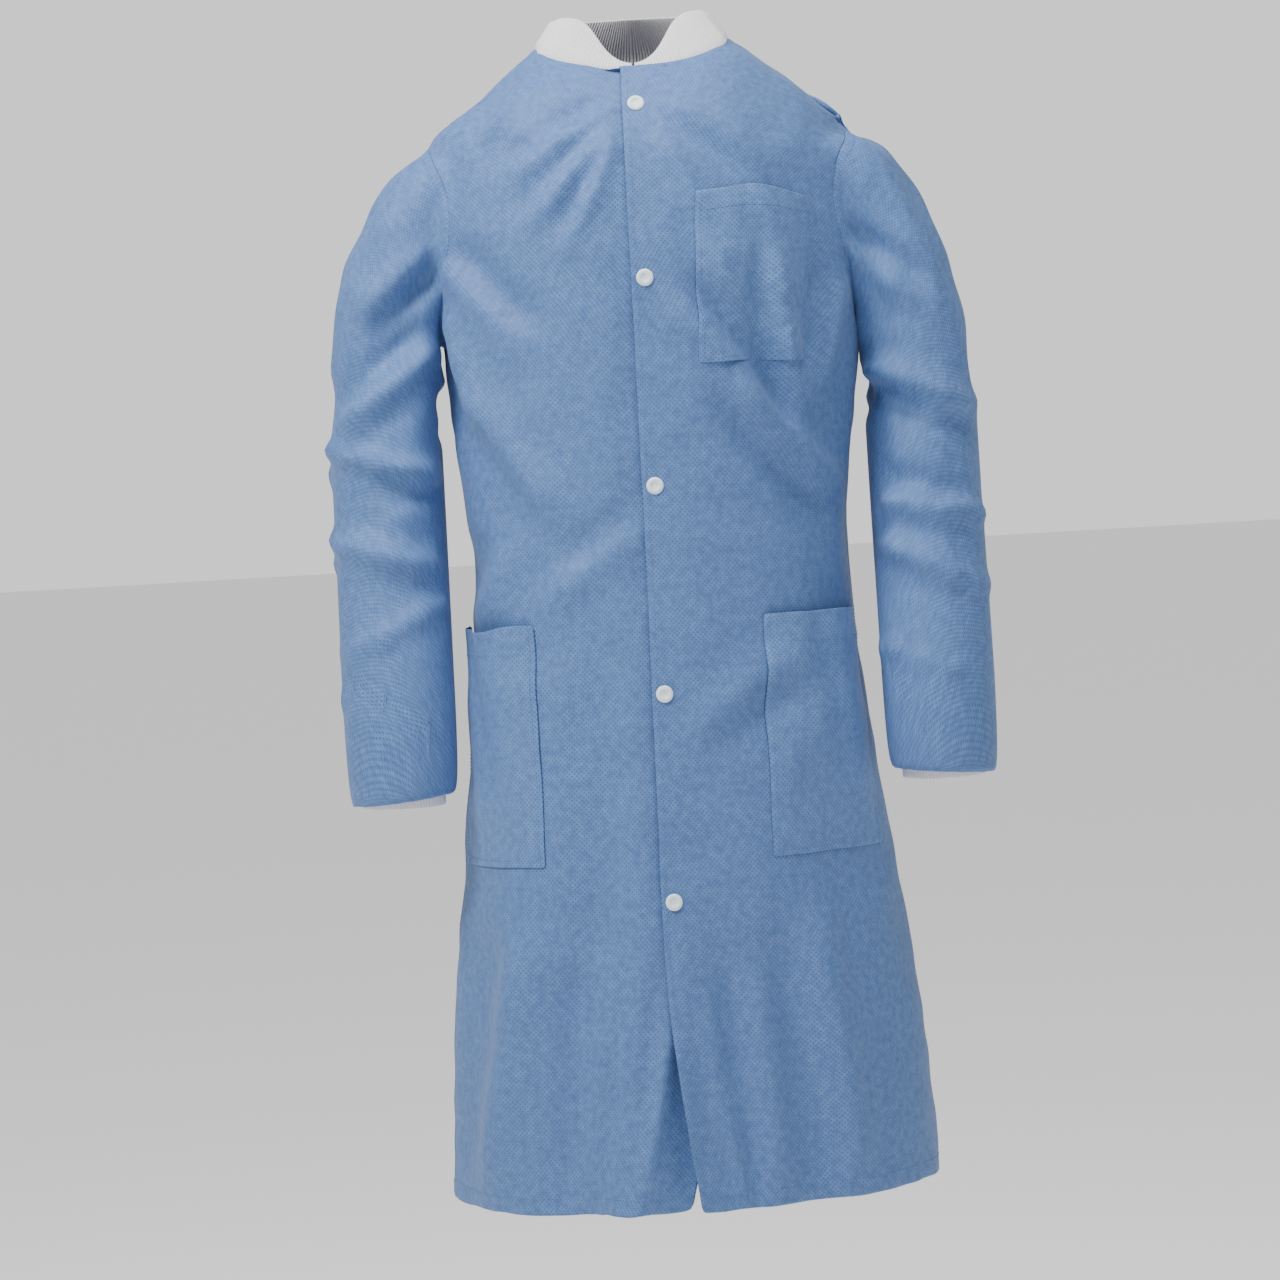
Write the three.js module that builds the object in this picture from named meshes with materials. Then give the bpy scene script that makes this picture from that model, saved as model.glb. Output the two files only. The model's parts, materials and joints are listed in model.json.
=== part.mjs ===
// A knee-length laboratory coat of thin non-woven cloth, with snaps, knit collar and knit cuffs.
// Millimetres, +Z up, the wearer faces -Y and the wearer's left is +X.
// The origin is the middle of the neck opening, at the height of the two neck points.
// A drop is a distance down from the neck points. An angle runs round the body from the
// centre front (0) over the wearer's left side (90) to the centre back (180).
import * as THREE from 'three';

// ---------------------------------------------------------------- driving sizes
const coatDrop = 1040; // neck point down to the hem
const hemHalfWidth = 226;
const hemFrontDepth = 160;
const hemBackDepth = 160;
const waistDrop = 440;
const waistHalfWidth = 178;
const waistFrontDepth = 130;
const waistBackDepth = 112;
const bustDrop = 212;
const bustFrontDepth = 140;
const bustBackDepth = 125;
const armpitDrop = 280;
const chestHalfWidth = 188;
const shoulderHalfWidth = 185;
const shoulderDrop = 79;
const neckHalfWidth = 88;
const frontNeckDrop = 30;
const backNeckDrop = 15;
const frontRoundness = 0.47; // how quickly the front leaves the shoulder line
const backRoundness = 0.5;
const armholeHalfAngle = 28; // half of the widest part of the armhole

const clothThickness = 2.5;
const facingThickness = 1.5;
const seamGap = 0.5;
const layerGap = 0.3; // between a piece and the piece it lies on

const overlapPastCentre = 13; // the wearer's left front lies on top
const underPastCentre = 22;
const facingWidth = 58;
const facingEdgeInset = 2;
const facingTopDrop = 10; // from the neckline
const facingGap = 0.8;
const underBlendWidth = 75; // the lower front sinks to its place below over this width

const armholeStripStart = 4; // angle of the fixed strip between front and armhole, at the armpit
const neckFrontAngle = 14; // where the loose part of the neckline begins
const stripGrowth = 3.6;
// Angles kept free on each side of the seam between a front and the panel behind it. A front hardly
// moves at the neckline and swings past its neighbour lower down.
const neckSeamAngle = 0.1;
const chestSeamAngle = 2.1;
const chestSeamDrop = 30;
const sideSeamAngle = 1;

const sleeveLength = 576; // shoulder tip down to the end of the sleeve
const sleeveBodyGap = 5; // the sleeve hangs this far outside the body
const sleeveJoinDrop = 325; // the first level ring of the sleeve
const sleeveForward = 50; // how far the wrist hangs in front of the shoulder
const elbowHalfWidth = 49;
const elbowHalfDepth = 58;
const sleeveCapBend = { x: 0.85, y: 0.6, z: 0.25 }; // where the curve over the shoulder turns down, as shares
const wristEaseWide = 4.3; // how much fuller than the cuff the sleeve is above it
const wristEaseDeep = 6.3;

const cuffInnerRadius = 33;
const cuffThickness = 3.2;
const cuffLength = 58;
const cuffShows = 14; // part of the cuff below the end of the sleeve
const sleeveGatherRise = 16; // the cloth is gathered to the cuff over this height

const collarTop = 20; // above the neck points, at the sides and behind
const collarThickness = 3;
const collarInset = 2.2; // edge of the neckline to the outer face of the collar
const collarTuck = 6; // part of the collar below the neckline
const collarFrontHeight = 5;
const collarLean = 0.16;

const chestPocketInset = 46; // along the cloth, from the centre front
const chestPocketWidth = 112;
const chestPocketTop = 150;
const chestPocketHeight = 155;
const lowerPocketInset = 95;
const lowerPocketWidth = 140;
const lowerPocketTop = 525;
const lowerPocketHeight = 211;
const pocketThickness = 2;
const pocketSeatGap = 0.6; // sides and bottom of a pocket to the front that carries them
const chestPocketGape = 12; // how far the mouth stands open
const lowerPocketGape = 16;
const pocketFullFrom = 0.625; // share of the height above which a pocket stands fully open
const pocketRoundness = 0.7;

const snapCount = 5;
const firstSnapDrop = 50;
const snapSpacing = 180;
const snapCapRadius = 7.5;
const snapCapHeight = 2.2;
const snapRimHeight = 1.1;
const snapCrownRadius = 6;
const snapDishRadius = 3.4;
const snapDishDepth = 0.6; // the middle of the cap is hollowed
const snapInnerRadius = 4.6;
const snapKnobRadius = 1.7;
const snapBoreGap = 1.6; // round the knob, so that it leaves the socket at a slant
const snapSocketHeight = 1.6;
const snapKnobShort = 0.3; // the knob ends this far inside the socket
const snapBaseHeight = 1.2;
const snapClearance = 0.35;

// ---------------------------------------------------------------- how finely the cloth is divided
const bodyRowHeight = 64;
const chestRows = 14;
const frontColumns = 14;
const neckColumns = 3; // of a shoulder panel, between the loose front and the neck point
const shoulderColumns = 4; // from the neck point to the armhole
const backNeckColumns = 8;
const sleeveSides = 20;
const sleeveCapRows = 5;
const sleeveArmRows = 7;
const facingColumns = 8;
const pocketColumns = 14;
const pocketRows = 9;
const snapSides = 14;

// ---------------------------------------------------------------- colours
const clothBlue = { color: 0x6f97c6, roughness: 0.85, metalness: 0 };
const pocketBlue = { color: 0x7a9fcb, roughness: 0.85, metalness: 0 };
const facingBlue = { color: 0x86a8d0, roughness: 0.85, metalness: 0 };
const knitWhite = { color: 0xe9e6ea, roughness: 0.95, metalness: 0 };
const snapWhite = { color: 0xdde9f0, roughness: 0.4, metalness: 0 };

// ---------------------------------------------------------------- small helpers
const { degToRad, radToDeg, clamp, lerp } = THREE.MathUtils;
const neckAngle = radToDeg(Math.asin(neckHalfWidth / shoulderHalfWidth));

function ease(share) {
  const t = clamp(share, 0, 1);
  return t * t * (3 - 2 * t);
}

// A smooth value through a list of [drop, value] stations.
function valueAt(stations, drop) {
  const last = stations.length - 1;
  if (drop <= stations[0][0]) return stations[0][1];
  for (let i = 0; i < last; i += 1) {
    const [fromDrop, fromValue] = stations[i];
    const [toDrop, toValue] = stations[i + 1];
    if (drop <= toDrop) return lerp(fromValue, toValue, ease((drop - fromDrop) / (toDrop - fromDrop)));
  }
  return stations[last][1];
}

// ---------------------------------------------------------------- the shape of the body of the coat
const halfWidths = [[0, shoulderHalfWidth], [armpitDrop, chestHalfWidth], [waistDrop, waistHalfWidth],
  [coatDrop, hemHalfWidth]];
const frontDepths = [[bustDrop, bustFrontDepth], [waistDrop, waistFrontDepth], [coatDrop, hemFrontDepth]];
const backDepths = [[bustDrop, bustBackDepth], [waistDrop, waistBackDepth], [coatDrop, hemBackDepth]];

// The shoulder line falls from the neck point to the shoulder tip.
function shoulderLineDrop(x) {
  return shoulderDrop * Math.max(0, (Math.abs(x) - neckHalfWidth) / (shoulderHalfWidth - neckHalfWidth));
}

function shellPoint(angle, level) {
  const turn = degToRad(angle);
  const front = Math.cos(turn) > 0;
  const rise = clamp((bustDrop - level) / bustDrop, 0, 1);
  const x = valueAt(halfWidths, level) * Math.sin(turn);
  const depth = valueAt(front ? frontDepths : backDepths, level);
  const roundness = front ? frontRoundness : backRoundness;
  const y = -depth * (1 - rise * rise) ** roundness * Math.cos(turn);
  const z = level >= bustDrop ? -level : -bustDrop + rise * (bustDrop - shoulderLineDrop(x));
  return new THREE.Vector3(x, y, z);
}

// The neckline cuts the shell away above it, in front and behind.
function trimmedLevel(angle, level) {
  if (level >= bustDrop) return level;
  const fromFront = Math.abs(angle > 180 ? angle - 360 : angle);
  const front = fromFront < 90;
  const fromMiddle = front ? fromFront : 180 - fromFront;
  if (fromMiddle >= neckAngle) return level;
  const dip = (front ? frontNeckDrop : backNeckDrop) * Math.sqrt(1 - (fromMiddle / neckAngle) ** 2);
  return bustDrop - (bustDrop - level) * (1 - dip / bustDrop);
}

function shellNormal(angle, level) {
  const step = 3;
  const high = Math.max(level - step, 1);
  const across = shellPoint(angle + 1, level).sub(shellPoint(angle - 1, level));
  const up = shellPoint(angle, high).sub(shellPoint(angle, high + 2 * step));
  return across.cross(up).normalize();
}

// A point of the cloth, moved inwards by a depth (outwards when it is negative).
function clothPoint(angle, level, inset = 0) {
  const cutLevel = trimmedLevel(angle, level);
  const normal = shellNormal(angle, cutLevel);
  if (cutLevel < 1) normal.setY(0).normalize();
  return shellPoint(angle, cutLevel).addScaledVector(normal, -inset);
}

// The side and shoulder seams lie in the plane y = 0, with half a seam gap on each side.
function keepBeforeSeam(point) {
  return point.setY(Math.min(point.y, -seamGap / 2));
}

function keepBehindSeam(point) {
  return point.setY(Math.max(point.y, seamGap / 2));
}

// The angle at a distance along the cloth from the centre front.
function angleAlong(distance, level) {
  const step = 0.5;
  let angle = 0;
  let walked = 0;
  let here = shellPoint(0, level);
  while (walked < Math.abs(distance) && angle < 180) {
    const next = shellPoint(angle + step, level);
    const length = next.distanceTo(here);
    const share = Math.min(1, (Math.abs(distance) - walked) / length);
    angle += step * share;
    walked += length;
    here = next;
  }
  return Math.sign(distance) * angle;
}

// Rows of the body, from the hem up to the neckline. Every panel uses the same ones.
const bodyRows = Math.round((coatDrop - armpitDrop) / bodyRowHeight);
const bodyLevels = Array.from({ length: bodyRows + 1 }, (_, j) => lerp(coatDrop, armpitDrop, j / bodyRows));
const chestLevels = Array.from({ length: chestRows + 1 }, (_, j) => lerp(armpitDrop, 0, j / chestRows));
const coatLevels = [...bodyLevels, ...chestLevels.slice(1)];

function armholeAngle(level) {
  const rise = clamp((armpitDrop - level) / armpitDrop, 0, 1);
  return armholeHalfAngle * Math.sin(Math.PI * rise) ** 0.8;
}

function seamAngle(level) {
  return valueAt([[0, neckSeamAngle], [chestSeamDrop, chestSeamAngle], [armpitDrop, sideSeamAngle]], level);
}

// Where the loose part of a front ends: the side seam below, and a curve to the neckline above.
function looseFrontAngle(level) {
  if (level > armpitDrop) return 90;
  const rise = (armpitDrop - level) / armpitDrop;
  const strip = lerp(armholeStripStart, 90 - neckFrontAngle, rise ** stripGrowth);
  return 90 - armholeAngle(level) - strip;
}

// ---------------------------------------------------------------- closed solids from two faces
// faceAt(u, v) returns [outer point, inner point]; v runs up the cloth and u round the body.
function sheetGeometry(columns, rows, faceAt, { wraps = false, mirrored = false } = {}) {
  const columnCount = wraps ? columns : columns + 1;
  const layerSize = columnCount * (rows + 1);
  const vertices = new Float32Array(layerSize * 6);
  for (let j = 0; j <= rows; j += 1) {
    for (let i = 0; i < columnCount; i += 1) {
      const [outer, inner] = faceAt(i / columns, j);
      if (mirrored) {
        outer.x *= -1;
        inner.x *= -1;
      }
      outer.toArray(vertices, 3 * (j * columnCount + i));
      inner.toArray(vertices, 3 * (layerSize + j * columnCount + i));
    }
  }
  const outerAt = (i, j) => j * columnCount + (i % columnCount);
  const innerAt = (i, j) => layerSize + outerAt(i, j);
  const triangles = [];
  const addQuad = (a, b, c, d) => {
    if (mirrored) triangles.push(a, c, b, a, d, c);
    else triangles.push(a, b, c, a, c, d);
  };
  for (let j = 0; j < rows; j += 1) {
    for (let i = 0; i < columns; i += 1) {
      addQuad(outerAt(i, j), outerAt(i + 1, j), outerAt(i + 1, j + 1), outerAt(i, j + 1));
      addQuad(innerAt(i, j), innerAt(i, j + 1), innerAt(i + 1, j + 1), innerAt(i + 1, j));
    }
  }
  for (let i = 0; i < columns; i += 1) {
    addQuad(outerAt(i + 1, 0), outerAt(i, 0), innerAt(i, 0), innerAt(i + 1, 0));
    addQuad(outerAt(i, rows), outerAt(i + 1, rows), innerAt(i + 1, rows), innerAt(i, rows));
  }
  if (!wraps) {
    for (let j = 0; j < rows; j += 1) {
      addQuad(outerAt(0, j), outerAt(0, j + 1), innerAt(0, j + 1), innerAt(0, j));
      addQuad(outerAt(columns, j + 1), outerAt(columns, j), innerAt(columns, j), innerAt(columns, j + 1));
    }
  }
  const geometry = new THREE.BufferGeometry();
  geometry.setAttribute('position', new THREE.BufferAttribute(vertices, 3));
  geometry.setIndex(triangles);
  geometry.computeVertexNormals();
  return geometry;
}

const labCoat = new THREE.Group();

function addPiece(name, geometry, look, holder = labCoat) {
  const piece = new THREE.Mesh(geometry, new THREE.MeshStandardMaterial(look));
  piece.name = name;
  holder.add(piece);
  return piece;
}

// ---------------------------------------------------------------- back and shoulder panels
// Shares of a panel's width. A column of each panel ends at the neck point, as the collar does.
function evenShares(from, to, count) {
  return Array.from({ length: count + 1 }, (_, i) => lerp(from, to, i / count));
}

const frontNeckShare = (neckAngle - neckFrontAngle) / (90 - neckFrontAngle);
const shoulderShares = [...evenShares(0, frontNeckShare, neckColumns),
  ...evenShares(frontNeckShare, 1, shoulderColumns).slice(1)];
const backNeckShare = (90 - neckAngle) / 180;
const backShares = [...evenShares(0, backNeckShare, shoulderColumns),
  ...evenShares(backNeckShare, 1 - backNeckShare, backNeckColumns).slice(1),
  ...evenShares(1 - backNeckShare, 1, shoulderColumns).slice(1)];

function shareAt(shares, u) {
  return shares[Math.round(u * (shares.length - 1))];
}

addPiece('back_panel', sheetGeometry(backShares.length - 1, coatLevels.length - 1, (u, j) => {
  const level = coatLevels[j];
  const angle = lerp(90 + armholeAngle(level), 270 - armholeAngle(level), shareAt(backShares, u));
  return [0, clothThickness].map((inset) => keepBehindSeam(clothPoint(angle, level, inset)));
}), clothBlue);

for (const mirrored of [false, true]) {
  const side = mirrored ? 'right' : 'left';
  addPiece(`${side}_shoulder_panel`, sheetGeometry(shoulderShares.length - 1, chestRows, (u, j) => {
    const level = chestLevels[j];
    const from = looseFrontAngle(level) + seamAngle(level);
    const angle = lerp(from, 90 - armholeAngle(level), shareAt(shoulderShares, u));
    return [0, clothThickness].map((inset) => keepBeforeSeam(clothPoint(angle, level, inset)));
  }, { mirrored }), clothBlue);
}

// ---------------------------------------------------------------- the two fronts and their facings
// The wearer's right front dips below the left one by the room that the closed snaps need.
const overFacingInset = clothThickness + facingGap;
const socketInset = overFacingInset + facingThickness + snapClearance;
const studInset = socketInset + snapSocketHeight + layerGap;
const underInset = studInset + snapBaseHeight + snapClearance;
const underFacingInset = underInset + clothThickness + facingGap;

// It is back at the common surface at the end of the blend, or where the loose front ends.
function underDip(x, level) {
  const looseEnd = shellPoint(looseFrontAngle(level), level).x;
  const blendEnd = Math.min(underPastCentre + underBlendWidth, looseEnd);
  return underInset * ease((blendEnd - Math.abs(x)) / (blendEnd - underPastCentre));
}

function frontAngle(distancePastCentre, u, level) {
  const height = trimmedLevel(0, level);
  return lerp(-angleAlong(distancePastCentre, height), looseFrontAngle(level) - seamAngle(level), u);
}

addPiece('left_front', sheetGeometry(frontColumns, coatLevels.length - 1, (u, j) => {
  const angle = frontAngle(overlapPastCentre, u, coatLevels[j]);
  return [0, clothThickness].map((inset) => keepBeforeSeam(clothPoint(angle, coatLevels[j], inset)));
}), clothBlue);

addPiece('right_front', sheetGeometry(frontColumns, coatLevels.length - 1, (u, j) => {
  const angle = frontAngle(underPastCentre, u, coatLevels[j]);
  const dip = underDip(clothPoint(angle, coatLevels[j]).x, coatLevels[j]);
  return [dip, dip + clothThickness].map((inset) => keepBeforeSeam(clothPoint(angle, coatLevels[j], inset)));
}, { mirrored: true }), clothBlue);

function facingFaces(pastCentre, inset, u, level) {
  const height = trimmedLevel(0, level);
  const start = facingEdgeInset - pastCentre;
  const distance = lerp(start, start + facingWidth, u);
  const angle = angleAlong(distance, height);
  const shown = Math.max(level, facingTopDrop);
  return [inset, inset + facingThickness].map((depth) => clothPoint(angle, shown, depth));
}

addPiece('left_front_facing', sheetGeometry(facingColumns, coatLevels.length - 1,
  (u, j) => facingFaces(overlapPastCentre, overFacingInset, u, coatLevels[j])), facingBlue);
addPiece('right_front_facing', sheetGeometry(facingColumns, coatLevels.length - 1,
  (u, j) => facingFaces(underPastCentre, underFacingInset, u, coatLevels[j]),
  { mirrored: true }), facingBlue);

// ---------------------------------------------------------------- patch pockets
// Sides and bottom lie on the front; the mouth stands open and the middle is full.
function pocketGeometry({ inset, width, top, height, gape, mirrored, dipAt }) {
  return sheetGeometry(pocketColumns, pocketRows, (u, j) => {
    const v = j / pocketRows;
    const level = top + height * (1 - v);
    const angle = angleAlong(inset + width * u, level);
    const fullness = gape * ease(v / pocketFullFrom) * Math.sin(Math.PI * u) ** pocketRoundness;
    const lift = pocketSeatGap + pocketThickness + fullness - dipAt(clothPoint(angle, level).x, level);
    return [-lift, pocketThickness - lift].map((depth) => clothPoint(angle, level, depth));
  }, { mirrored });
}

const chestPocket = { inset: chestPocketInset, width: chestPocketWidth, top: chestPocketTop,
  height: chestPocketHeight, gape: chestPocketGape, mirrored: false, dipAt: () => 0 };
const leftLowerPocket = { inset: lowerPocketInset, width: lowerPocketWidth, top: lowerPocketTop,
  height: lowerPocketHeight, gape: lowerPocketGape, mirrored: false, dipAt: () => 0 };
const rightLowerPocket = { ...leftLowerPocket, mirrored: true, dipAt: underDip };
addPiece('chest_pocket', pocketGeometry(chestPocket), pocketBlue);
addPiece('left_lower_pocket', pocketGeometry(leftLowerPocket), pocketBlue);
addPiece('right_lower_pocket', pocketGeometry(rightLowerPocket), pocketBlue);

// ---------------------------------------------------------------- sleeves and cuffs
const sleeveEndDrop = shoulderDrop + sleeveLength;
const cuffOuterRadius = cuffInnerRadius + cuffThickness;
const sleeveEndRadius = cuffOuterRadius + layerGap + clothThickness;
const wristHalfWidth = cuffOuterRadius + clothThickness + wristEaseWide;
const wristHalfDepth = cuffOuterRadius + clothThickness + wristEaseDeep;
const sleeveCentreX = sleeveBodyGap + Math.max(valueAt(halfWidths, sleeveJoinDrop) + elbowHalfWidth,
  valueAt(halfWidths, sleeveEndDrop) + wristHalfWidth);
const armholeCentre = new THREE.Vector3(shoulderHalfWidth, 0, -(shoulderDrop + armpitDrop) / 2);

// A turn of 0 is the outer side (the shoulder tip), a quarter is the front, a half is the armpit.
function armholeEdge(turn) {
  const level = armpitDrop * (1 - Math.cos(2 * Math.PI * turn)) / 2;
  const front = turn < 0.5;
  const angle = front ? 90 - armholeAngle(level) : 90 + armholeAngle(level);
  const point = clothPoint(angle, level);
  point.x += seamGap;
  return point;
}

function wristForwardAt(drop) {
  return -sleeveForward * ease((drop - sleeveJoinDrop) / (sleeveEndDrop - sleeveJoinDrop));
}

function sleeveRing(turn, drop, halfWidth, halfDepth) {
  const around = 2 * Math.PI * turn;
  return new THREE.Vector3(sleeveCentreX + halfWidth * Math.cos(around),
    wristForwardAt(drop) - halfDepth * Math.sin(around), -drop);
}

function sleeveFaces(turn, row) {
  if (row <= sleeveCapRows) {
    const t = row / sleeveCapRows;
    const edge = armholeEdge(turn);
    const towardsCentre = armholeCentre.clone().sub(edge).setX(0).normalize();
    return [0, clothThickness].map((inset) => {
      const start = edge.clone().addScaledVector(towardsCentre, inset);
      const end = sleeveRing(turn, sleeveJoinDrop, elbowHalfWidth - inset, elbowHalfDepth - inset);
      const bend = new THREE.Vector3(lerp(start.x, end.x, sleeveCapBend.x),
        lerp(start.y, end.y, sleeveCapBend.y), lerp(start.z, end.z, sleeveCapBend.z));
      return new THREE.QuadraticBezierCurve3(start, bend, end).getPoint(t);
    });
  }
  const lastRow = sleeveCapRows + sleeveArmRows;
  const gathered = row === lastRow;
  const gatherDrop = sleeveEndDrop - sleeveGatherRise;
  const down = (row - sleeveCapRows) / (sleeveArmRows - 1);
  const drop = gathered ? sleeveEndDrop : lerp(sleeveJoinDrop, gatherDrop, down);
  return [0, clothThickness].map((inset) => {
    const halfWidth = gathered ? sleeveEndRadius : lerp(elbowHalfWidth, wristHalfWidth, ease(down));
    const halfDepth = gathered ? sleeveEndRadius : lerp(elbowHalfDepth, wristHalfDepth, ease(down));
    return sleeveRing(turn, drop, halfWidth - inset, halfDepth - inset);
  });
}

function cuffFaces(turn, row) {
  const top = sleeveEndDrop + cuffShows - cuffLength;
  const drop = top + cuffLength * row;
  return [cuffOuterRadius, cuffInnerRadius].map((radius) => {
    const point = sleeveRing(turn, sleeveEndDrop, radius, radius);
    return point.setZ(-drop);
  });
}

for (const mirrored of [false, true]) {
  const side = mirrored ? 'right' : 'left';
  const sleeveRows = sleeveCapRows + sleeveArmRows;
  addPiece(`${side}_sleeve`, sheetGeometry(sleeveSides, sleeveRows, sleeveFaces,
    { wraps: true, mirrored }), clothBlue);
  addPiece(`${side}_cuff`, sheetGeometry(sleeveSides, 1, cuffFaces, { wraps: true, mirrored }), knitWhite);
}

// ---------------------------------------------------------------- knit collar
// It stands inside the neckline, full height behind and running out at the centre front.
function collarFaces(angle, row, dipAt = () => 0) {
  const foot = clothPoint(angle, 0, dipAt(clothPoint(angle, 0).x, 0));
  const outwards = new THREE.Vector3(foot.x, foot.y, 0).normalize();
  const fromFront = Math.abs(angle > 180 ? angle - 360 : angle);
  const share = ease(fromFront / neckAngle);
  const height = lerp(collarFrontHeight, collarTop - foot.z, share);
  const bottom = lerp(0, -collarTuck, share);
  const rise = row === 0 ? bottom : height;
  return [collarInset, collarInset + collarThickness].map((inset) => {
    const point = foot.clone().addScaledVector(outwards, -inset - collarLean * Math.max(rise, 0));
    return point.setZ(foot.z + rise);
  });
}

// The shoulder seam joins the front and back curves of the neckline.
const frontNeck = evenShares(neckFrontAngle + neckSeamAngle, neckAngle, neckColumns);
const backNeck = evenShares(180 - neckAngle, 180 + neckAngle, backNeckColumns).slice(1, -1);
const collarBackAngles = [...frontNeck, ...backNeck, ...[...frontNeck].reverse().map((a) => -a)];
const collarBackCount = collarBackAngles.length - 1;
addPiece('collar_back', sheetGeometry(collarBackCount, 1,
  (u, j) => collarFaces(collarBackAngles[Math.round(u * collarBackCount)], j)), knitWhite);

const collarEndGap = 1; // angle kept free at the centre front
for (const mirrored of [false, true]) {
  const side = mirrored ? 'right' : 'left';
  addPiece(`${side}_collar_front`, sheetGeometry(4, 1, (u, j) => {
    const angle = lerp(collarEndGap, neckFrontAngle - neckSeamAngle, u);
    return collarFaces(angle, j, mirrored ? underDip : undefined);
  }, { mirrored }), knitWhite);
}

// ---------------------------------------------------------------- snap fasteners
// Each profile runs from the axis out and back, and stands on the plane y = 0.
function turned(profile) {
  return new THREE.LatheGeometry(profile.map(([r, y]) => new THREE.Vector2(r, y)), snapSides);
}

const dishHeight = snapCapHeight - snapDishDepth;
const capShape = [[0, 0], [snapCapRadius, 0], [snapCapRadius, snapRimHeight],
  [snapCrownRadius, snapCapHeight], [snapDishRadius, dishHeight], [0, dishHeight]];
const boreRadius = snapKnobRadius + snapBoreGap;
const socketShape = [[boreRadius, 0], [snapInnerRadius, 0], [snapInnerRadius, snapSocketHeight],
  [boreRadius, snapSocketHeight], [boreRadius, 0]];
const knobTop = snapBaseHeight + layerGap + snapSocketHeight - snapKnobShort;
const studShape = [[0, 0], [snapInnerRadius, 0], [snapInnerRadius, snapBaseHeight],
  [snapKnobRadius, snapBaseHeight], [snapKnobRadius, knobTop], [0, knobTop]];
const backShape = [[0, 0], [snapInnerRadius, 0], [snapInnerRadius, snapBaseHeight], [0, snapBaseHeight]];

const underLayers = underFacingInset + facingThickness + snapClearance;
const snapParts = [
  ['cap', capShape, -snapClearance],
  ['socket', socketShape, socketInset + snapSocketHeight],
  ['stud', studShape, studInset + snapBaseHeight],
  ['back', backShape, underLayers + snapBaseHeight],
];

for (let k = 0; k < snapCount; k += 1) {
  const level = firstSnapDrop + k * snapSpacing;
  const holder = new THREE.Group();
  const normal = shellNormal(0, level);
  holder.position.copy(shellPoint(0, level));
  holder.quaternion.setFromUnitVectors(new THREE.Vector3(0, 1, 0), normal);
  labCoat.add(holder);
  for (const [part, shape, inset] of snapParts) {
    const piece = addPiece(`snap_${k + 1}_${part}`, turned(shape), snapWhite, holder);
    piece.position.y = -inset;
  }
}

export default labCoat;
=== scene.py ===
# %% [markdown]
# # A disposable laboratory coat
# The coat is sewn from a thin blue non-woven cloth and closed with five plastic snaps.
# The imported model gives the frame: where each panel, pocket, cuff and snap sits, and how it moves.
# The cloth is cut here as one welded garment, draped by simulation over a hidden form, and then
# parted again into its sewn panels.

# %% Load the frame
import json
import math

import bmesh
import bpy
import numpy as np
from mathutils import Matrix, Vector, noise


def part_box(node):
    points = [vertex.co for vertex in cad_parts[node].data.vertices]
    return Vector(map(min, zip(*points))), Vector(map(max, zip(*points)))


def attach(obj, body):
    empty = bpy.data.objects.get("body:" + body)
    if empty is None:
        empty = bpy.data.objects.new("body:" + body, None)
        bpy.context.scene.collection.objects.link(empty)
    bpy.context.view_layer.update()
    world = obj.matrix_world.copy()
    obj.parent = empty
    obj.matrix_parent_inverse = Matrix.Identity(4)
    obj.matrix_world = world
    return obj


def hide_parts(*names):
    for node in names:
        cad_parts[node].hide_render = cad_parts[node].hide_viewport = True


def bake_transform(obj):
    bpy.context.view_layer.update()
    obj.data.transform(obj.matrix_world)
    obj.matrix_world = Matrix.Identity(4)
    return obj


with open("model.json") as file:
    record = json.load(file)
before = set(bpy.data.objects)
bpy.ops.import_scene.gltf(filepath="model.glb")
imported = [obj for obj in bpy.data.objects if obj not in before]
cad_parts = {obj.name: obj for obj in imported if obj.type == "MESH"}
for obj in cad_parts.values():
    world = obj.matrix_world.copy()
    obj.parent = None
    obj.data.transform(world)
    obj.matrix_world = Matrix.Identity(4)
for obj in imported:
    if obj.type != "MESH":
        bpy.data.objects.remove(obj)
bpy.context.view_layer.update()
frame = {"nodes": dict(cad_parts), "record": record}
record = frame["record"]
joints = {joint["name"]: joint for joint in record["behaviour"]["joints"]}
print("frame loaded:", len(frame["nodes"]), "nodes")

# %% [markdown]
# ## The size of the coat
# The origin lies between the two neck points. A drop is a distance down from there. An angle runs
# round the body from the centre front (0) over the wearer's left side (90) to the back (180).
# Every size is in metres, and the overall ones are read from the frame's own pieces.

# %% Sizes of the body
back_low, back_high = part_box("back_panel")
coat_drop = -back_low[2]
hem_half_width = back_high[0]
shoulder_half_width, shoulder_drop = 0.185, 0.079
neck_half_width = 0.088
chest_half_width, armpit_drop = 0.188, 0.280
waist_half_width, waist_drop = 0.178, 0.440
bust_drop = 0.212
front_neck_drop, back_neck_drop = 0.030, 0.015
front_depths = [(bust_drop, 0.140), (waist_drop, 0.130), (coat_drop, 0.160)]
back_depths = [(bust_drop, 0.125), (waist_drop, 0.112), (coat_drop, 0.160)]
half_widths = [(0.0, shoulder_half_width), (armpit_drop, chest_half_width), (waist_drop, waist_half_width),
               (coat_drop, hem_half_width)]
front_roundness, back_roundness = 0.47, 0.5
armhole_half_angle = 28
signs = {"left": 1, "right": -1}
neck_angle = math.degrees(math.asin(neck_half_width / shoulder_half_width))
print(f"coat length {coat_drop:.3f} m, half width at the hem {hem_half_width:.3f} m")


# %% Smooth values between stations
def ease(share):
    share = min(max(share, 0.0), 1.0)
    return share * share * (3 - 2 * share)


def mix(a, b, share):
    return a + (b - a) * share


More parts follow.
